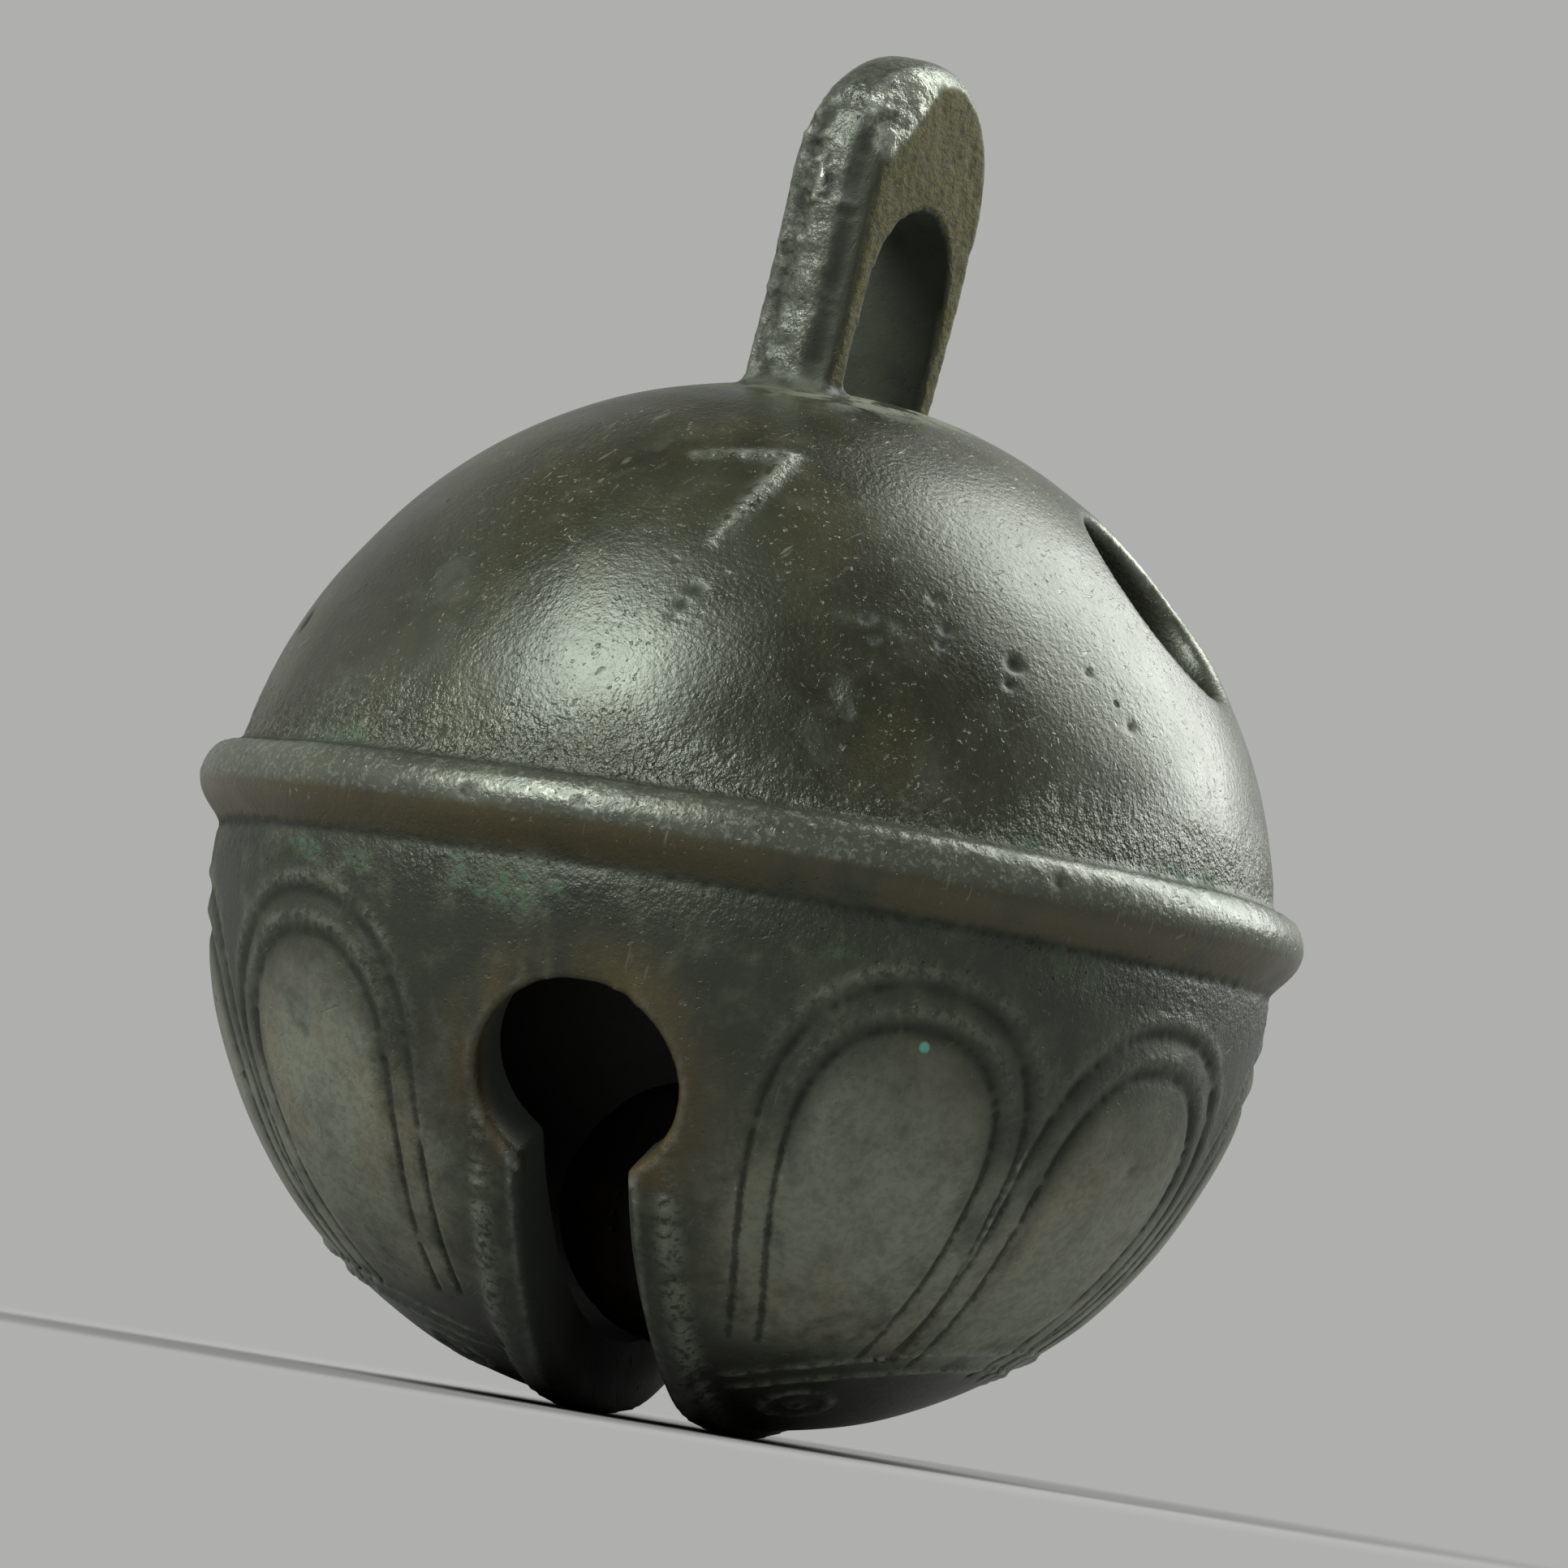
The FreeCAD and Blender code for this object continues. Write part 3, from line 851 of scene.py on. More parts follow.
def record_masks(piece):
    """Works out all masks of a piece and keeps them as attributes of its vertices."""
    spots = vertex_numbers(piece, "co")
    height = spots[:, 2] - RIB_Z
    axis_gap = np.hypot(spots[:, 0], spots[:, 1])
    proud = above_dome(spots)
    into_bowl = BOWL_RADIUS - np.hypot(np.maximum(axis_gap - BOWL_FLAT, 0), spots[:, 2] - bowl_centre.z)
    into_wall = np.where(height > 0, -proud, into_bowl)

    flat = in_loop(spots)
    facing = face_turn(piece)
    loop_share = smooth_step(0.05 * MM, 0.5 * MM, proud) * (height > LOOP_LEVEL)
    off_face = loop_share * (1 - smooth_step(*OFF_FACE_TURN, facing))
    in_eye = loop_share * (1 - smooth_step(0.5, 0.8, facing))
    in_eye *= (np.abs(flat[:, 1]) < EYE_HALF + 0.35 * MM) * (flat[:, 2] < EYE_HEIGHT + 0.3 * MM)
    on_facet = smooth_step(FACET_REACH - 0.3 * MM, FACET_REACH - 0.12 * MM, toward_facet(flat))
    on_facet *= loop_share
    bevel = 0.7 * off_face * smooth_step(0.45, 0.65, facing) * (1 - in_eye)
    bevel *= smooth_step(9 * MM, 11 * MM, flat[:, 2])
    strip = off_face * smooth_step(0.45 * MM, 0.8 * MM, flat[:, 0]) * (1 - on_facet)
    strip *= 1 - smooth_step(8.5 * MM, 10.5 * MM, flat[:, 2])

    bend = curve_of(piece, CURVE_ROUNDS)
    seam_gap = np.abs(spots[:, 2] - SEAM_Z)
    off_seam = smooth_step(*OFF_SEAM, seam_gap)
    corner = np.exp(-(seam_gap / CORNER_WIDTH) ** 2) * (np.abs(into_wall) < 0.6 * MM)
    sunk = nearest(sunk_lines, spots) / LEG_LINE[1]
    raised = nearest(raised_lines, spots) / RING_RIDGE[1]
    beside_line = np.clip(sunk + raised, 0, 1) * (height < BELOW_RIB)
    keyhole_gap = keyhole_gaps(spots)
    low = smooth_step(*LOW_BAND, height)
    slot_wall = (np.abs(spots[:, 0]) < SLOT_HALF + 0.3 * MM) * (height < SLOT_LEVEL)
    slot_wall = slot_wall * smooth_step(-0.9 * MM, 0.2 * MM, into_wall)
    worn = smooth_step(*WORN_BEND, bend) * off_seam * (1 - 0.75 * beside_line) * (1 - in_eye)
    worn *= smooth_step(0.1 * MM, 0.6 * MM, keyhole_gap)

    # The crevice mask darkens inward bends and the corner above the rib with dirt and painted shade; the
    # hollow mask paints shade over the inside of the bell and the slot's walls.
    masks = {
        "pock": spot_depths([dent for dent in dents if dent[1] < SMALL_DENT], spots) / POCK_DEPTH,
        "sunk": sunk,
        "raised": raised,
        "field": np.array([petal_field(spot) for spot in spots]) * (1 - low),
        "worn": worn,
        "crevice_dirt_and_shade": np.maximum(smooth_step(*CREVICE_BEND, -bend) * off_seam, corner),
        "sawn": loop_share * smooth_step(*SAWN_TURN, facing) * (1 - on_facet),
        "bevel": np.maximum(on_facet, bevel),
        "strip": strip,
        "side": loop_share * (1 - smooth_step(0.5, 0.75, facing)) * (1 - in_eye),
        "eye": in_eye,
        "stain": smooth_step(*STAIN_REACH, keyhole_gap) * (height > SLOT_LEVEL),
        "low": low,
        "hollow_shade": np.maximum(smooth_step(*HOLLOW_DEPTH, into_wall), 0.8 * slot_wall)}
    for name, values in masks.items():
        attribute = piece.data.attributes.new(name, "FLOAT", "POINT")
        attribute.data.foreach_set("value", np.clip(values, 0, 1).astype(np.float32))


for half in (upper, lower):
    record_masks(half)
    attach(half, "bell")
    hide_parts("bell_casting")

# The finish of the bronze: dark olive patina, rubbed to a dull sheen, with sand pits, brown and
# green bloom in the corners, bare worn edges, and a buff grainy skin on the loop's faces.
PATINA_DARK = (0.0130, 0.0128, 0.0048, 1)
PATINA_GREY = (0.036, 0.038, 0.022, 1)
PATINA_OLIVE = (0.036, 0.034, 0.0105, 1)
BOWL_DARK = (0.0062, 0.0058, 0.0026, 1)
FIELD_GREY = (0.240, 0.258, 0.192, 1)
FIELD_BUFF = (0.240, 0.228, 0.148, 1)
SIDE_GREY = (0.062, 0.066, 0.047, 1)
WORN_METAL = (0.40, 0.43, 0.36, 1)
# Near-black for dirt, and for painted shade in the corners, the lines and the hollow.
SOOT_AND_SHADE = (0.0035, 0.0033, 0.0020, 1)
RUST_GOLD = (0.054, 0.036, 0.0060, 1)
VERDIGRIS = (0.060, 0.125, 0.062, 1)
CRUST = (0.200, 0.230, 0.160, 1)
TURQUOISE = (0.14, 0.42, 0.34, 1)
SAWN_BUFF = (0.102, 0.092, 0.024, 1)
SAWN_DARK = (0.046, 0.040, 0.012, 1)
EYE_GREY = (0.028, 0.033, 0.020, 1)
GREENISH = (0.88, 1.0, 0.84, 1)
TURQUOISE_SPOT = on_bowl(37.6, -6.3 * MM)
TURQUOISE_RADIUS = 0.26 * MM
GREEN_SPOT = on_bowl(-9.0, -3.0 * MM)
BLOTCH_SCALE = 95.0
STREAK_SCALE = 260.0
MOTTLE_SCALE = 520.0
GRAIN_SCALE = 1500.0
SAND_SCALE = 3100.0
STIPPLE_SCALE = 4200.0
SMALL_PITS_SCALE = 3600.0
LARGE_PITS_SCALE = 1500.0
RELIEF_DEPTH = 0.05 * MM

# Heights over the rib's middle between which a finish sets in (start, full), and bands of it
# (level, reach, core).
BOWL_START = (-0.4 * MM, -1.4 * MM)
GRIT_FADE = (4.6 * MM, 1.4 * MM)
RIB_TOP = (1.0 * MM, 1.5 * MM)
FIELD_FADE = (-6.0 * MM, -11.5 * MM)
BELLY_START = (-8.5 * MM, -13.0 * MM)
SILVER_START = (28.6 * MM, 26.6 * MM)
GRIT_BELOW = (-2.7 * MM, 1.7 * MM, 0.3 * MM)
RIB_FACE = (0.45 * MM, 0.95 * MM, 0.55 * MM)
GOLD_BAND = (-1.0 * MM, 0.95 * MM, 0.35 * MM)
BLOOM_ABOVE = (1.5 * MM, 0.9 * MM, 0.1 * MM)
BLOOM_BELOW = (-2.9 * MM, 1.2 * MM, 0.2 * MM)
GREEN_BAND = (-3.0 * MM, 1.5 * MM, 0.5 * MM)
GREEN_REACH = (4.4 * MM, 1.2 * MM)
CRUST_BAND = (17.6 * MM, 1.0 * MM, 0.1 * MM)
BESIDE_SLOT = (3.6 * MM, 6.5 * MM)


def node(tree, kind, inputs=None, **settings):
    """One shader node, its settings and what its sockets hold or are joined to."""
    made = tree.nodes.new("ShaderNode" + kind)
    for key, value in settings.items():
        setattr(made, key, value)
    for key, value in (inputs or {}).items():
        if isinstance(value, bpy.types.NodeSocket):
            tree.links.new(value, made.inputs[key])
        else:
            made.inputs[key].default_value = value
    return made


def maths(tree, operation, first, second=0.0, clamp=False):
    return node(tree, "Math", {0: first, 1: second}, operation=operation, use_clamp=clamp).outputs[0]


def times(tree, first, second, clamp=False):
    return maths(tree, "MULTIPLY", first, second, clamp)


def plus(tree, first, second, clamp=False):
    return maths(tree, "ADD", first, second, clamp)


def minus(tree, first, second, clamp=False):
    return maths(tree, "SUBTRACT", first, second, clamp)


def larger(tree, first, *others):
    """The largest of two or more values."""
    for other in others:
        first = maths(tree, "MAXIMUM", first, other)
    return first


def madd(tree, value, factor, offset, clamp=False):
    """A value times a factor, plus an offset."""
    return node(tree, "Math", {0: value, 1: factor, 2: offset},
                operation="MULTIPLY_ADD", use_clamp=clamp).outputs[0]


def held_back(tree, value, where, amount):
    """A value made less where a mask is; amount 1 takes all of it."""
    return times(tree, value, madd(tree, where, -amount, 1.0))


def vector_maths(tree, operation, first, second=(0.0, 0.0, 0.0), result="Vector"):
    return node(tree, "VectorMath", {0: first, 1: second}, operation=operation).outputs[result]


def step_up(tree, value, low, high):
    """0 below low, 1 above high, smooth between; low may be the larger."""
    return node(tree, "MapRange", {"Value": value, "From Min": low, "From Max": high},
                interpolation_type="SMOOTHSTEP").outputs[0]


def near_level(tree, value, level, reach, core):
    """1 within core of a level, 0 beyond reach."""
    gap = maths(tree, "ABSOLUTE", minus(tree, value, level))
    return step_up(tree, gap, reach, core)


def tint(tree, share, under, over, amount=1.0):
    """One colour laid over another by a share, and by an amount of it."""
    if amount < 1.0:
        share = times(tree, share, amount)
    return node(tree, "Mix", {0: share, 6: under, 7: over}, data_type="RGBA").outputs[2]


def stretched(tree, vector, scale):
    return node(tree, "Mapping", {"Vector": vector, "Scale": scale}).outputs[0]


def cloud(tree, vector, scale, detail=3.0, roughness=0.55, distortion=0.0):
    return node(tree, "TexNoise", {"Vector": vector, "Scale": scale, "Detail": detail,
                                   "Roughness": roughness, "Distortion": distortion}).outputs["Fac"]


def bump(tree, height, distance):
    return node(tree, "Bump", {"Strength": 1.0, "Distance": distance, "Height": height}).outputs["Normal"]


def new_material(name):
    """A material with its node tree and its main shader."""
    material = bpy.data.materials.new(name)
    material.use_nodes = True
    return material, material.node_tree, material.node_tree.nodes["Principled BSDF"]


def new_group(name, inputs, outputs):
    """An empty node group with named sockets, and its two end nodes."""
    tree = bpy.data.node_groups.new(name, "ShaderNodeTree")
    for label, kind in inputs:
        tree.interface.new_socket(label, in_out="INPUT", socket_type="NodeSocket" + kind)
    for label, kind in outputs:
        tree.interface.new_socket(label, in_out="OUTPUT", socket_type="NodeSocket" + kind)
    return tree, tree.nodes.new("NodeGroupInput").outputs, tree.nodes.new("NodeGroupOutput").inputs


def grouped(tree, group, **inputs):
    """What a shared effect gives for these inputs."""
    return node(tree, "Group", inputs, node_tree=group).outputs


# Pits that the sand left: only a share of the cells has one, and their outlines wander.
WANDER = 0.25 * MM
WANDER_SCALE = 2600.0
pits_group, asked, given = new_group(
    "sand_pits", [("Vector", "Vector"), ("Scale", "Float"), ("Share", "Float")], [("Pit", "Float")])
wander = node(pits_group, "TexNoise", {"Vector": asked["Vector"], "Scale": WANDER_SCALE, "Detail": 2.0})
bent = vector_maths(pits_group, "MULTIPLY", wander.outputs["Color"], (WANDER, WANDER, WANDER))
bent = vector_maths(pits_group, "ADD", bent, asked["Vector"])
cells = node(pits_group, "TexVoronoi", {"Vector": bent, "Scale": asked["Scale"]})
chance = node(pits_group, "SeparateColor", {0: cells.outputs["Color"]})
chosen = step_up(pits_group, minus(pits_group, asked["Share"], chance.outputs[0]), 0.0, 0.12)
pit_edge = madd(pits_group, chance.outputs[1], 0.22, 0.14)
pit_floor = times(pits_group, pit_edge, 0.35)
pit_shape = step_up(pits_group, cells.outputs["Distance"], pit_edge, pit_floor)
pits_group.links.new(times(pits_group, chosen, pit_shape), given["Pit"])

# The grain of the cast skin: coarse, fine, and the few specks that stand out of it.
FINE_RATIO = 3.3
SPECK_RATIO = 6.5
grain_group, asked, given = new_group("grain", [("Vector", "Vector"), ("Scale", "Float")],
                                      [("Coarse", "Float"), ("Fine", "Float"), ("Speck", "Float")])
coarse = cloud(grain_group, asked["Vector"], asked["Scale"], 4.0, 0.6, 0.4)
fine = cloud(grain_group, asked["Vector"], times(grain_group, asked["Scale"], FINE_RATIO), 2.0, 0.6)
finest = cloud(grain_group, asked["Vector"], times(grain_group, asked["Scale"], SPECK_RATIO), 1.0, 0.5)
grain_group.links.new(coarse, given["Coarse"])
grain_group.links.new(fine, given["Fine"])
grain_group.links.new(step_up(grain_group, finest, 0.66, 0.76), given["Speck"])

# Thin scratches that run three ways.
SCRATCH_LENGTH = 9.0
scratch_group, asked, given = new_group("scratches", [("Vector", "Vector")], [("Line", "Float")])
lines = []
for turn, scale in (((0.3, 0.2, 0.0), 3600.0), ((1.1, 0.5, 0.4), 4350.0), ((-0.7, 0.9, 0.2), 3150.0)):
    way = node(scratch_group, "Mapping",
               {"Vector": asked["Vector"], "Rotation": turn, "Scale": (1.0, 1.0, SCRATCH_LENGTH)},
               vector_type="TEXTURE").outputs[0]
    lines.append(step_up(scratch_group, cloud(scratch_group, way, scale, 2.0, 0.6), 0.66, 0.74))
scratch_group.links.new(larger(scratch_group, *lines), given["Line"])

# What the bronze reads: the place on the bell, its rise above the rib's middle, the masks, and
# clouds and grain from large to small.
MASKS = ("sunk", "raised", "field", "worn", "crevice_dirt_and_shade", "sawn", "bevel", "side", "eye", "stain", "low",
         "hollow_shade", "pock", "strip")
bronze, tree, shader = new_material("aged_bronze")
spot = node(tree, "TexCoord").outputs["Object"]
parts = node(tree, "SeparateXYZ", {0: spot})
rise = plus(tree, parts.outputs["Z"], -RIB_Z)
mask = {name: node(tree, "Attribute", attribute_name=name).outputs["Fac"] for name in MASKS}
blotch = cloud(tree, spot, BLOTCH_SCALE, 3.0, 0.55, 0.6)
mottle = cloud(tree, spot, MOTTLE_SCALE, 5.0, 0.62, 0.3)
streak = cloud(tree, stretched(tree, spot, (1.0, 1.0, 0.35)), STREAK_SCALE, 5.0, 0.62)
grain = grouped(tree, grain_group, Vector=spot, Scale=GRAIN_SCALE)
sand = grouped(tree, grain_group, Vector=spot, Scale=SAND_SCALE)
narrowed = stretched(tree, spot, (1.0, 0.55, 1.0))
stipple = grouped(tree, grain_group, Vector=narrowed, Scale=STIPPLE_SCALE)["Coarse"]
scratch = grouped(tree, scratch_group, Vector=spot)["Line"]

# Where the skin is gritty: above and below the rib and on the loop's sides. Pits lie mostly there.
on_bowl_share = step_up(tree, rise, *BOWL_START)
wavering = plus(tree, rise, madd(tree, blotch, -7.0 * MM, 3.5 * MM))
above = times(tree, step_up(tree, wavering, *GRIT_FADE), step_up(tree, rise, *RIB_TOP))
below = near_level(tree, rise, *GRIT_BELOW)
gritty = madd(tree, below, 0.45, above, clamp=True)
gritty = larger(tree, gritty, times(tree, larger(tree, mask["side"], mask["bevel"]), 0.35))
gritty = held_back(tree, gritty, mask["strip"], 1.0)
rib_face = near_level(tree, rise, *RIB_FACE)
small_share = larger(tree, madd(tree, gritty, 0.45, 0.09), times(tree, rib_face, 0.3))
small_pits = grouped(tree, pits_group, Vector=spot, Scale=SMALL_PITS_SCALE, Share=small_share)["Pit"]
large_share = madd(tree, step_up(tree, blotch, 0.45, 0.7), 0.1, 0.03)
large_pits = grouped(tree, pits_group, Vector=spot, Scale=LARGE_PITS_SCALE, Share=large_share)["Pit"]
pit = larger(tree, times(tree, small_pits, madd(tree, gritty, 0.5, 0.5)), large_pits)
tops = plus(tree, times(tree, sand["Coarse"], 0.5), times(tree, grain["Fine"], 0.5))
tops = step_up(tree, tops, 0.5, 0.62)
speck = times(tree, larger(tree, sand["Speck"], scratch), step_up(tree, streak, 0.42, 0.6))
speck = held_back(tree, speck, larger(tree, mask["eye"], mask["sawn"]), 1.0)
speck = held_back(tree, speck, on_bowl_share, 0.75)

# The patina: dark olive on the dome, nearly black on the bowl.
colour = tint(tree, step_up(tree, blotch, 0.36, 0.66), PATINA_DARK, PATINA_GREY)
colour = tint(tree, step_up(tree, streak, 0.40, 0.68), colour, PATINA_OLIVE, 0.75)
bowl_dark = tint(tree, step_up(tree, mottle, 0.42, 0.72), BOWL_DARK, PATINA_GREY)
colour = tint(tree, on_bowl_share, colour, bowl_dark, 0.85)
colour = tint(tree, step_up(tree, mottle, 0.5, 0.8), colour, FIELD_GREY, 0.14)

# The petals' fields and the belly between them are made pale grey, more so towards the foot: partly rubbed
# wear, partly a painted sheen.
field_wear_and_sheen_tone = tint(tree, step_up(tree, streak, 0.45, 0.65), FIELD_GREY, FIELD_BUFF)
field_fade = step_up(tree, rise, *FIELD_FADE)
beside_slot = step_up(tree, maths(tree, "ABSOLUTE", parts.outputs["X"]), *BESIDE_SLOT)
belly_wear_and_sheen = times(tree, step_up(tree, rise, *BELLY_START), step_up(tree, mottle, 0.2, 0.6))
belly_wear_and_sheen = times(tree, belly_wear_and_sheen, beside_slot)
field_wear_and_sheen = times(tree, mask["field"], madd(tree, field_fade, 0.6, 0.4))
field_wear_and_sheen = times(tree, field_wear_and_sheen, step_up(tree, mottle, 0.0, 0.58))
field_wear_and_sheen = larger(tree, field_wear_and_sheen, times(tree, belly_wear_and_sheen, 0.9))
field_grain = step_up(tree, sand["Coarse"], 0.38, 0.58)
field_wear_and_sheen = times(tree, field_wear_and_sheen, madd(tree, field_grain, 0.25, 0.75))
colour = tint(tree, field_wear_and_sheen, colour, field_wear_and_sheen_tone, 0.92)
colour = tint(tree, mask["low"], colour, BOWL_DARK, 0.85)
crest = times(tree, mask["raised"], step_up(tree, sand["Coarse"], 0.38, 0.56))
colour = tint(tree, crest, colour, FIELD_GREY, 0.6)

# Rusty gold under the rib and round the keyholes, and the grey narrow sides of the loop.
gold = times(tree, near_level(tree, rise, *GOLD_BAND), step_up(tree, streak, 0.3, 0.5))
gold = larger(tree, gold, times(tree, mask["stain"], step_up(tree, streak, 0.36, 0.6)))
colour = tint(tree, gold, colour, RUST_GOLD, 0.9)
side_tone = tint(tree, step_up(tree, sand["Coarse"], 0.3, 0.6), PATINA_GREY, SIDE_GREY)
colour = tint(tree, mask["side"], colour, side_tone)

# Bare metal: worn edges, the tops of lumps and grit, the rib's face, specks and scratches.
rubbed = held_back(tree, times(tree, gritty, tops), on_bowl_share, 0.85)
bare = larger(tree, mask["worn"], times(tree, mask["bevel"], 0.65))
bare = times(tree, bare, step_up(tree, grain["Coarse"], 0.25, 0.6))
silver = times(tree, mask["side"], madd(tree, step_up(tree, rise, *SILVER_START), 0.8, 0.2))
silver = times(tree, silver, madd(tree, tops, 0.28, 0.1))
rib_silver = times(tree, rib_face, madd(tree, tops, 0.3, 0.12))
bare = larger(tree, bare, silver, rib_silver, times(tree, rubbed, 0.27), times(tree, speck, 0.42))
bare = held_back(tree, bare, mask["strip"], 0.9)
colour = tint(tree, bare, colour, WORN_METAL)
colour = tint(tree, mask["strip"], colour, PATINA_DARK, 0.85)
eye_tone = tint(tree, step_up(tree, mottle, 0.3, 0.65), BOWL_DARK, EYE_GREY)
colour = tint(tree, mask["eye"], colour, eye_tone)
buff = tint(tree, step_up(tree, stipple, 0.36, 0.56), SAWN_DARK, SAWN_BUFF)
colour = tint(tree, mask["sawn"], colour, buff)

# Green bloom in the corners beside the rib, with a larger patch left of the keyhole, and a pale
# crust where the loop stands on the dome.
bloom = plus(tree, near_level(tree, rise, *BLOOM_ABOVE), near_level(tree, rise, *BLOOM_BELOW))
patchy = plus(tree, times(tree, blotch, 0.6), times(tree, mottle, 0.5))
bloom = times(tree, bloom, step_up(tree, patchy, 0.55, 0.66))
green_gap = vector_maths(tree, "DISTANCE", spot, GREEN_SPOT, "Value")
green = times(tree, step_up(tree, green_gap, *GREEN_REACH), near_level(tree, rise, *GREEN_BAND))
green = times(tree, green, step_up(tree, mottle, 0.42, 0.58))
bloom = larger(tree, bloom, times(tree, green, step_up(tree, sand["Coarse"], 0.42, 0.58)))
bloom = times(tree, bloom, step_up(tree, grain["Coarse"], 0.35, 0.6), clamp=True)
colour = tint(tree, bloom, colour, VERDIGRIS, 0.8)
crust = times(tree, near_level(tree, rise, *CRUST_BAND), step_up(tree, mottle, 0.42, 0.56))
colour = tint(tree, crust, colour, CRUST, 0.5)

# Soot-dark dirt in the lines, dents and pits, where it is partly painted shade; dirt and painted shade
# in the corners; painted shade over the hollow inside the bell and the slot's walls; and one turquoise spot.
dirt_and_shade = larger(tree, times(tree, mask["sunk"], 0.95), times(tree, mask["crevice_dirt_and_shade"], 0.7), mask["pock"])
colour = tint(tree, dirt_and_shade, colour, SOOT_AND_SHADE)
colour = tint(tree, pit, colour, SOOT_AND_SHADE, 0.8)
spot_gap = vector_maths(tree, "DISTANCE", spot, TURQUOISE_SPOT, "Value")
colour = tint(tree, step_up(tree, spot_gap, TURQUOISE_RADIUS, TURQUOISE_RADIUS / 2), colour, TURQUOISE)
colour = tint(tree, mask["hollow_shade"], colour, SOOT_AND_SHADE)
tree.links.new(colour, shader.inputs["Base Color"])
shader.inputs["Specular Tint"].default_value = GREENISH
shader.inputs["Specular IOR Level"].default_value = 0.8

# The sheen: a dull polish that dirt, the painted shade in the corners and the hollow, bloom, the bowl and the
# sawn faces make matter.
matt_share = held_back(tree, on_bowl_share, field_wear_and_sheen, 0.7)
matt_share = larger(tree, matt_share, mask["strip"], mask["eye"], mask["sawn"])
dull = larger(tree, mask["sawn"], mask["hollow_shade"], mask["eye"])
rough = madd(tree, mottle, 0.24, 0.22)
rough = madd(tree, mask["field"], 0.06, rough)
rough = madd(tree, larger(tree, pit, dirt_and_shade), 0.5, rough)
rough = madd(tree, larger(tree, bloom, crust), 0.35, rough)
rough = madd(tree, matt_share, 0.14, rough)
rough = madd(tree, dull, 0.4, rough, clamp=True)
tree.links.new(rough, shader.inputs["Roughness"])
clean = minus(tree, bare, larger(tree, pit, dirt_and_shade, bloom), clamp=True)
tree.links.new(times(tree, clean, 0.9), shader.inputs["Metallic"])

# The finest relief: grain and grit stand out, pits and scratches go in.
fine_share = held_back(tree, madd(tree, gritty, 2.1, 0.5), field_wear_and_sheen, 0.6)
fine_share = madd(tree, mask["raised"], 1.2, fine_share)
relief = times(tree, grain["Coarse"], 0.3)
relief = madd(tree, sand["Coarse"], madd(tree, gritty, 1.6, 0.25), relief)
relief = madd(tree, grain["Fine"], fine_share, relief)
relief = madd(tree, times(tree, mask["sawn"], stipple), 1.4, relief)
relief = madd(tree, pit, -0.9, relief)
relief = madd(tree, scratch, -0.3, relief)
tree.links.new(bump(tree, relief, RELIEF_DEPTH), shader.inputs["Normal"])
for half in (upper, lower):
    half.data.materials.clear()
    half.data.materials.append(bronze)

# The pea: a rough iron ball, cast in the core and free inside the bell. Rolling keeps its high
# spots rubbed; the rest is rust.
PEA_RADIUS = 5.0 * MM
IRON_DARK = (0.007, 0.0055, 0.0045, 1)
IRON_RUST = (0.026, 0.0125, 0.0060, 1)
IRON_GRAIN_SCALE = 900.0
IRON_PITS_SCALE = 1800.0
IRON_RELIEF_DEPTH = 0.08 * MM
pea_low, pea_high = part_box("pea")
bpy.ops.object.select_all(action="DESELECT")
bpy.ops.mesh.primitive_ico_sphere_add(subdivisions=6, radius=PEA_RADIUS)
pea = bpy.context.object
pea.name = "iron_pea"
set_in_place(pea, Matrix.Translation((pea_low + pea_high) / 2))
apply_modifier(pea, "SMOOTH", factor=0.5, iterations=1)
swell(pea, "pour", 2.5 * MM, 0.16 * MM, depth=1)
swell(pea, "rust", 0.5 * MM, 0.07 * MM)
pick(pea)
bpy.ops.object.shade_smooth()
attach(pea, "pea")
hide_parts("pea")
iron, tree, shader = new_material("rusted_iron")
spot = node(tree, "TexCoord").outputs["Object"]
grain = grouped(tree, grain_group, Vector=spot, Scale=IRON_GRAIN_SCALE)
pit = grouped(tree, pits_group, Vector=spot, Scale=IRON_PITS_SCALE, Share=0.35)["Pit"]
colour = tint(tree, step_up(tree, grain["Coarse"], 0.4, 0.68), IRON_DARK, IRON_RUST)
colour = tint(tree, pit, colour, SOOT_AND_SHADE, 0.7)
tree.links.new(colour, shader.inputs["Base Color"])
tree.links.new(madd(tree, grain["Fine"], 0.35, 0.45), shader.inputs["Roughness"])
relief = minus(tree, grain["Coarse"], pit)
tree.links.new(bump(tree, relief, IRON_RELIEF_DEPTH), shader.inputs["Normal"])
pea.data.materials.append(iron)

# The setting: a pale floor that runs up without a seam into a round backdrop. The bell stands on
# the worn soles of its lips.
FLOOR_Z = lip_bottom_z + LIP_WORN
FLOOR_REACH = 0.9
COVE_RADIUS = 0.5
COVE_STEPS = 24
BACKDROP_HEIGHT = 1.1
BACKDROP_TURNS = 96
cove_centre = Vector((FLOOR_REACH, 0, FLOOR_Z + COVE_RADIUS))
cove = arc_points(cove_centre, COVE_RADIUS, -90, 0, COVE_STEPS)
backdrop_outline = [Vector((0, 0, FLOOR_Z)), Vector((FLOOR_REACH, 0, FLOOR_Z)), *cove[1:],
                    Vector((FLOOR_REACH + COVE_RADIUS, 0, FLOOR_Z + BACKDROP_HEIGHT))]
backdrop = turned("backdrop", backdrop_outline, (0, 0, 0), AXIS, BACKDROP_TURNS)
bpy.ops.object.mode_set(mode="EDIT")
bpy.ops.mesh.select_all(action="SELECT")
bpy.ops.mesh.normals_make_consistent(inside=True)
bpy.ops.object.mode_set(mode="OBJECT")
bpy.ops.object.shade_smooth()

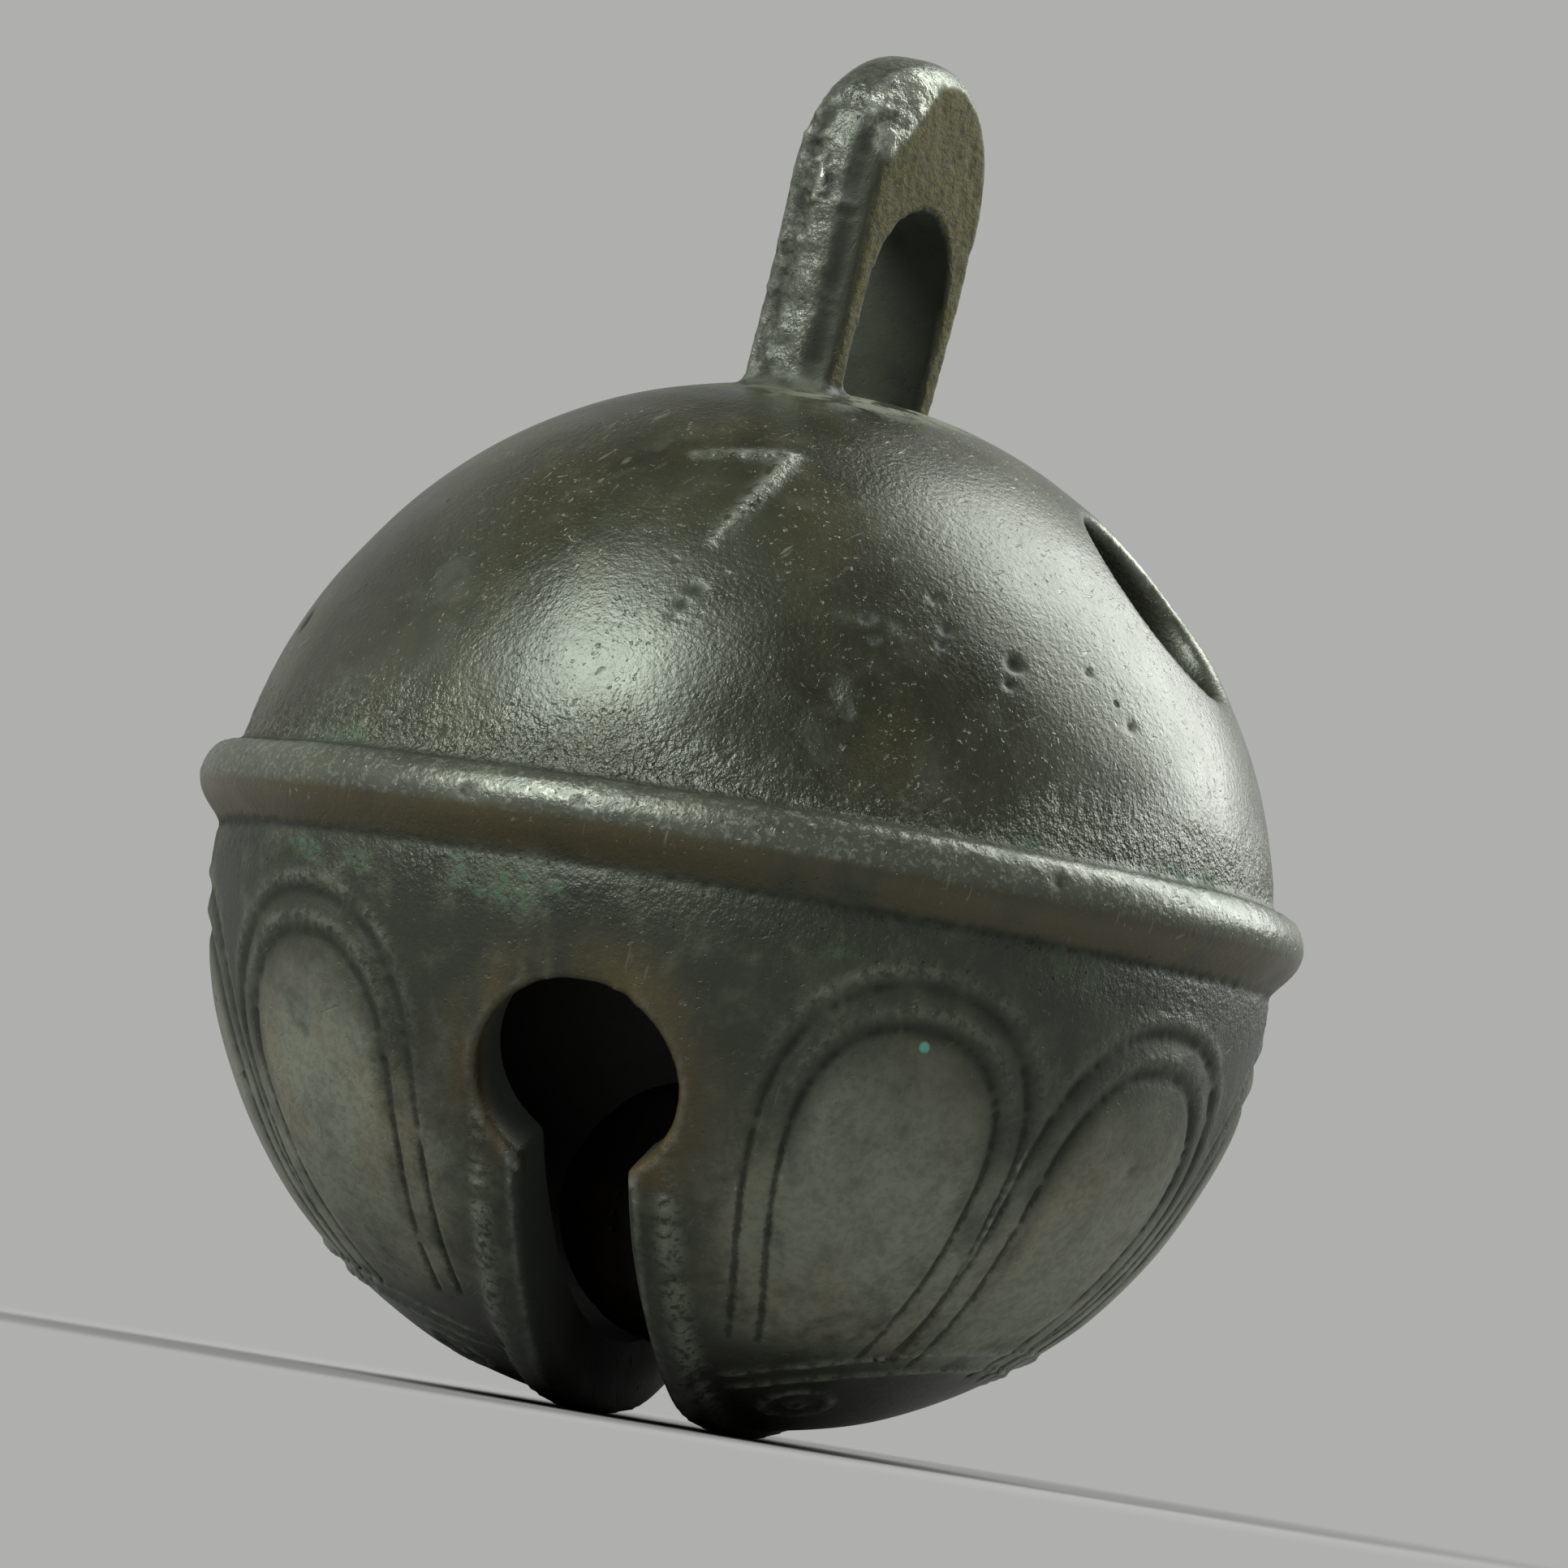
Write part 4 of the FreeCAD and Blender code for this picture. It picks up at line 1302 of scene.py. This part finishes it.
# Close by, the floor is lit by the soft boxes and takes the bell's shadow. Further out, where it is
# seen or mirrored, it gives one even pale light. From below it is clear, so that low views show
# the bell.
PALE = (0.43, 0.43, 0.425, 1)
LIT_PALE = (0.355, 0.355, 0.351, 1)
SHADOW_END = (0.020, 0.055)
pale, tree, shader = new_material("pale_floor")
tree.nodes.clear()
matt = node(tree, "BsdfDiffuse", {"Color": LIT_PALE}).outputs[0]
even = node(tree, "Emission", {"Color": PALE, "Strength": 1.0}).outputs[0]
seen = node(tree, "LightPath").outputs
shown = larger(tree, seen["Is Camera Ray"], seen["Is Glossy Ray"], seen["Is Transmission Ray"])
plan = vector_maths(tree, "MULTIPLY", node(tree, "TexCoord").outputs["Object"], (1.0, 1.0, 0.0))
far = step_up(tree, vector_maths(tree, "LENGTH", plan, result="Value"), *SHADOW_END)
floor_mix = node(tree, "MixShader", {0: times(tree, shown, far), 1: matt, 2: even}).outputs[0]
below_floor = times(tree, node(tree, "NewGeometry").outputs["Backfacing"], seen["Is Camera Ray"])
clear = node(tree, "BsdfTransparent").outputs[0]
floor_mix = node(tree, "MixShader", {0: below_floor, 1: floor_mix, 2: clear}).outputs[0]
tree.links.new(floor_mix, node(tree, "OutputMaterial").inputs["Surface"])
backdrop.data.materials.append(pale)

# The camera looks from the photograph's angle, a little below level, and is rolled as the
# photograph is. The two shifts set the bell in the frame where the photograph has it.
AZIMUTH = math.radians(16)
ELEVATION = math.radians(-3)
ROLL = math.radians(9.5)
CAMERA_DISTANCE = 0.4
SENSOR_WIDTH = 36
FOCAL_LENGTH = 244.4
CLIP = (0.01, 10)
FRAME_SHIFT_RIGHT = 1.19 * MM
FRAME_SHIFT_UP = 2.99 * MM
level = math.cos(ELEVATION)
back = Vector((math.sin(AZIMUTH) * level, -math.cos(AZIMUTH) * level, math.sin(ELEVATION)))
level_right = Vector((math.cos(AZIMUTH), math.sin(AZIMUTH), 0))
level_up = back.cross(level_right)
right = math.cos(ROLL) * level_right + math.sin(ROLL) * level_up
up = math.cos(ROLL) * level_up - math.sin(ROLL) * level_right
aim = Vector((0, 0, RIB_Z)) + FRAME_SHIFT_RIGHT * right + FRAME_SHIFT_UP * up
camera = bpy.data.objects.new("camera", bpy.data.cameras.new("camera"))
bpy.context.scene.collection.objects.link(camera)
camera.data.sensor_width = SENSOR_WIDTH
camera.data.lens = FOCAL_LENGTH
camera.data.clip_start, camera.data.clip_end = CLIP
camera_turn = Matrix((right, up, back)).transposed().to_4x4()
camera.matrix_world = Matrix.Translation(aim + CAMERA_DISTANCE * back) @ camera_turn
bpy.context.scene.camera = camera

# The light: a large soft box behind on the right, a smaller one in front on the left, as the two
# bright patches on the dome show, and a low even sky.
SKY_STRENGTH = 0.08


def soft_box(name, way, distance, width, height, radiance):
    """A soft box that looks at the bell from a way given in the camera's level axes."""
    toward = (way[0] * level_right + way[1] * level_up + way[2] * back).normalized()
    lamp = bpy.data.lights.new(name, "AREA")
    lamp.shape = "RECTANGLE"
    lamp.size, lamp.size_y = width, height
    lamp.energy = radiance * math.pi * width * height
    box = bpy.data.objects.new(name, lamp)
    bpy.context.scene.collection.objects.link(box)
    place = Vector((0, 0, RIB_Z)) + toward * distance
    box.matrix_world = Matrix.Translation(place) @ toward.to_track_quat("Z", "Y").to_matrix().to_4x4()
    box.visible_camera = False


soft_box("right_box", (0.60, 0.61, -0.45), 0.40, 0.24, 0.40, 7)
soft_box("left_box", (-0.57, 0.68, 0.46), 0.40, 0.20, 0.20, 12.5)
world = bpy.data.worlds.new("sky")
bpy.context.scene.world = world
world.use_nodes = True
sky = world.node_tree.nodes["Background"]
sky.inputs["Color"].default_value = (1, 1, 1, 1)
sky.inputs["Strength"].default_value = SKY_STRENGTH

bpy.context.scene.view_settings.view_transform = "Standard"
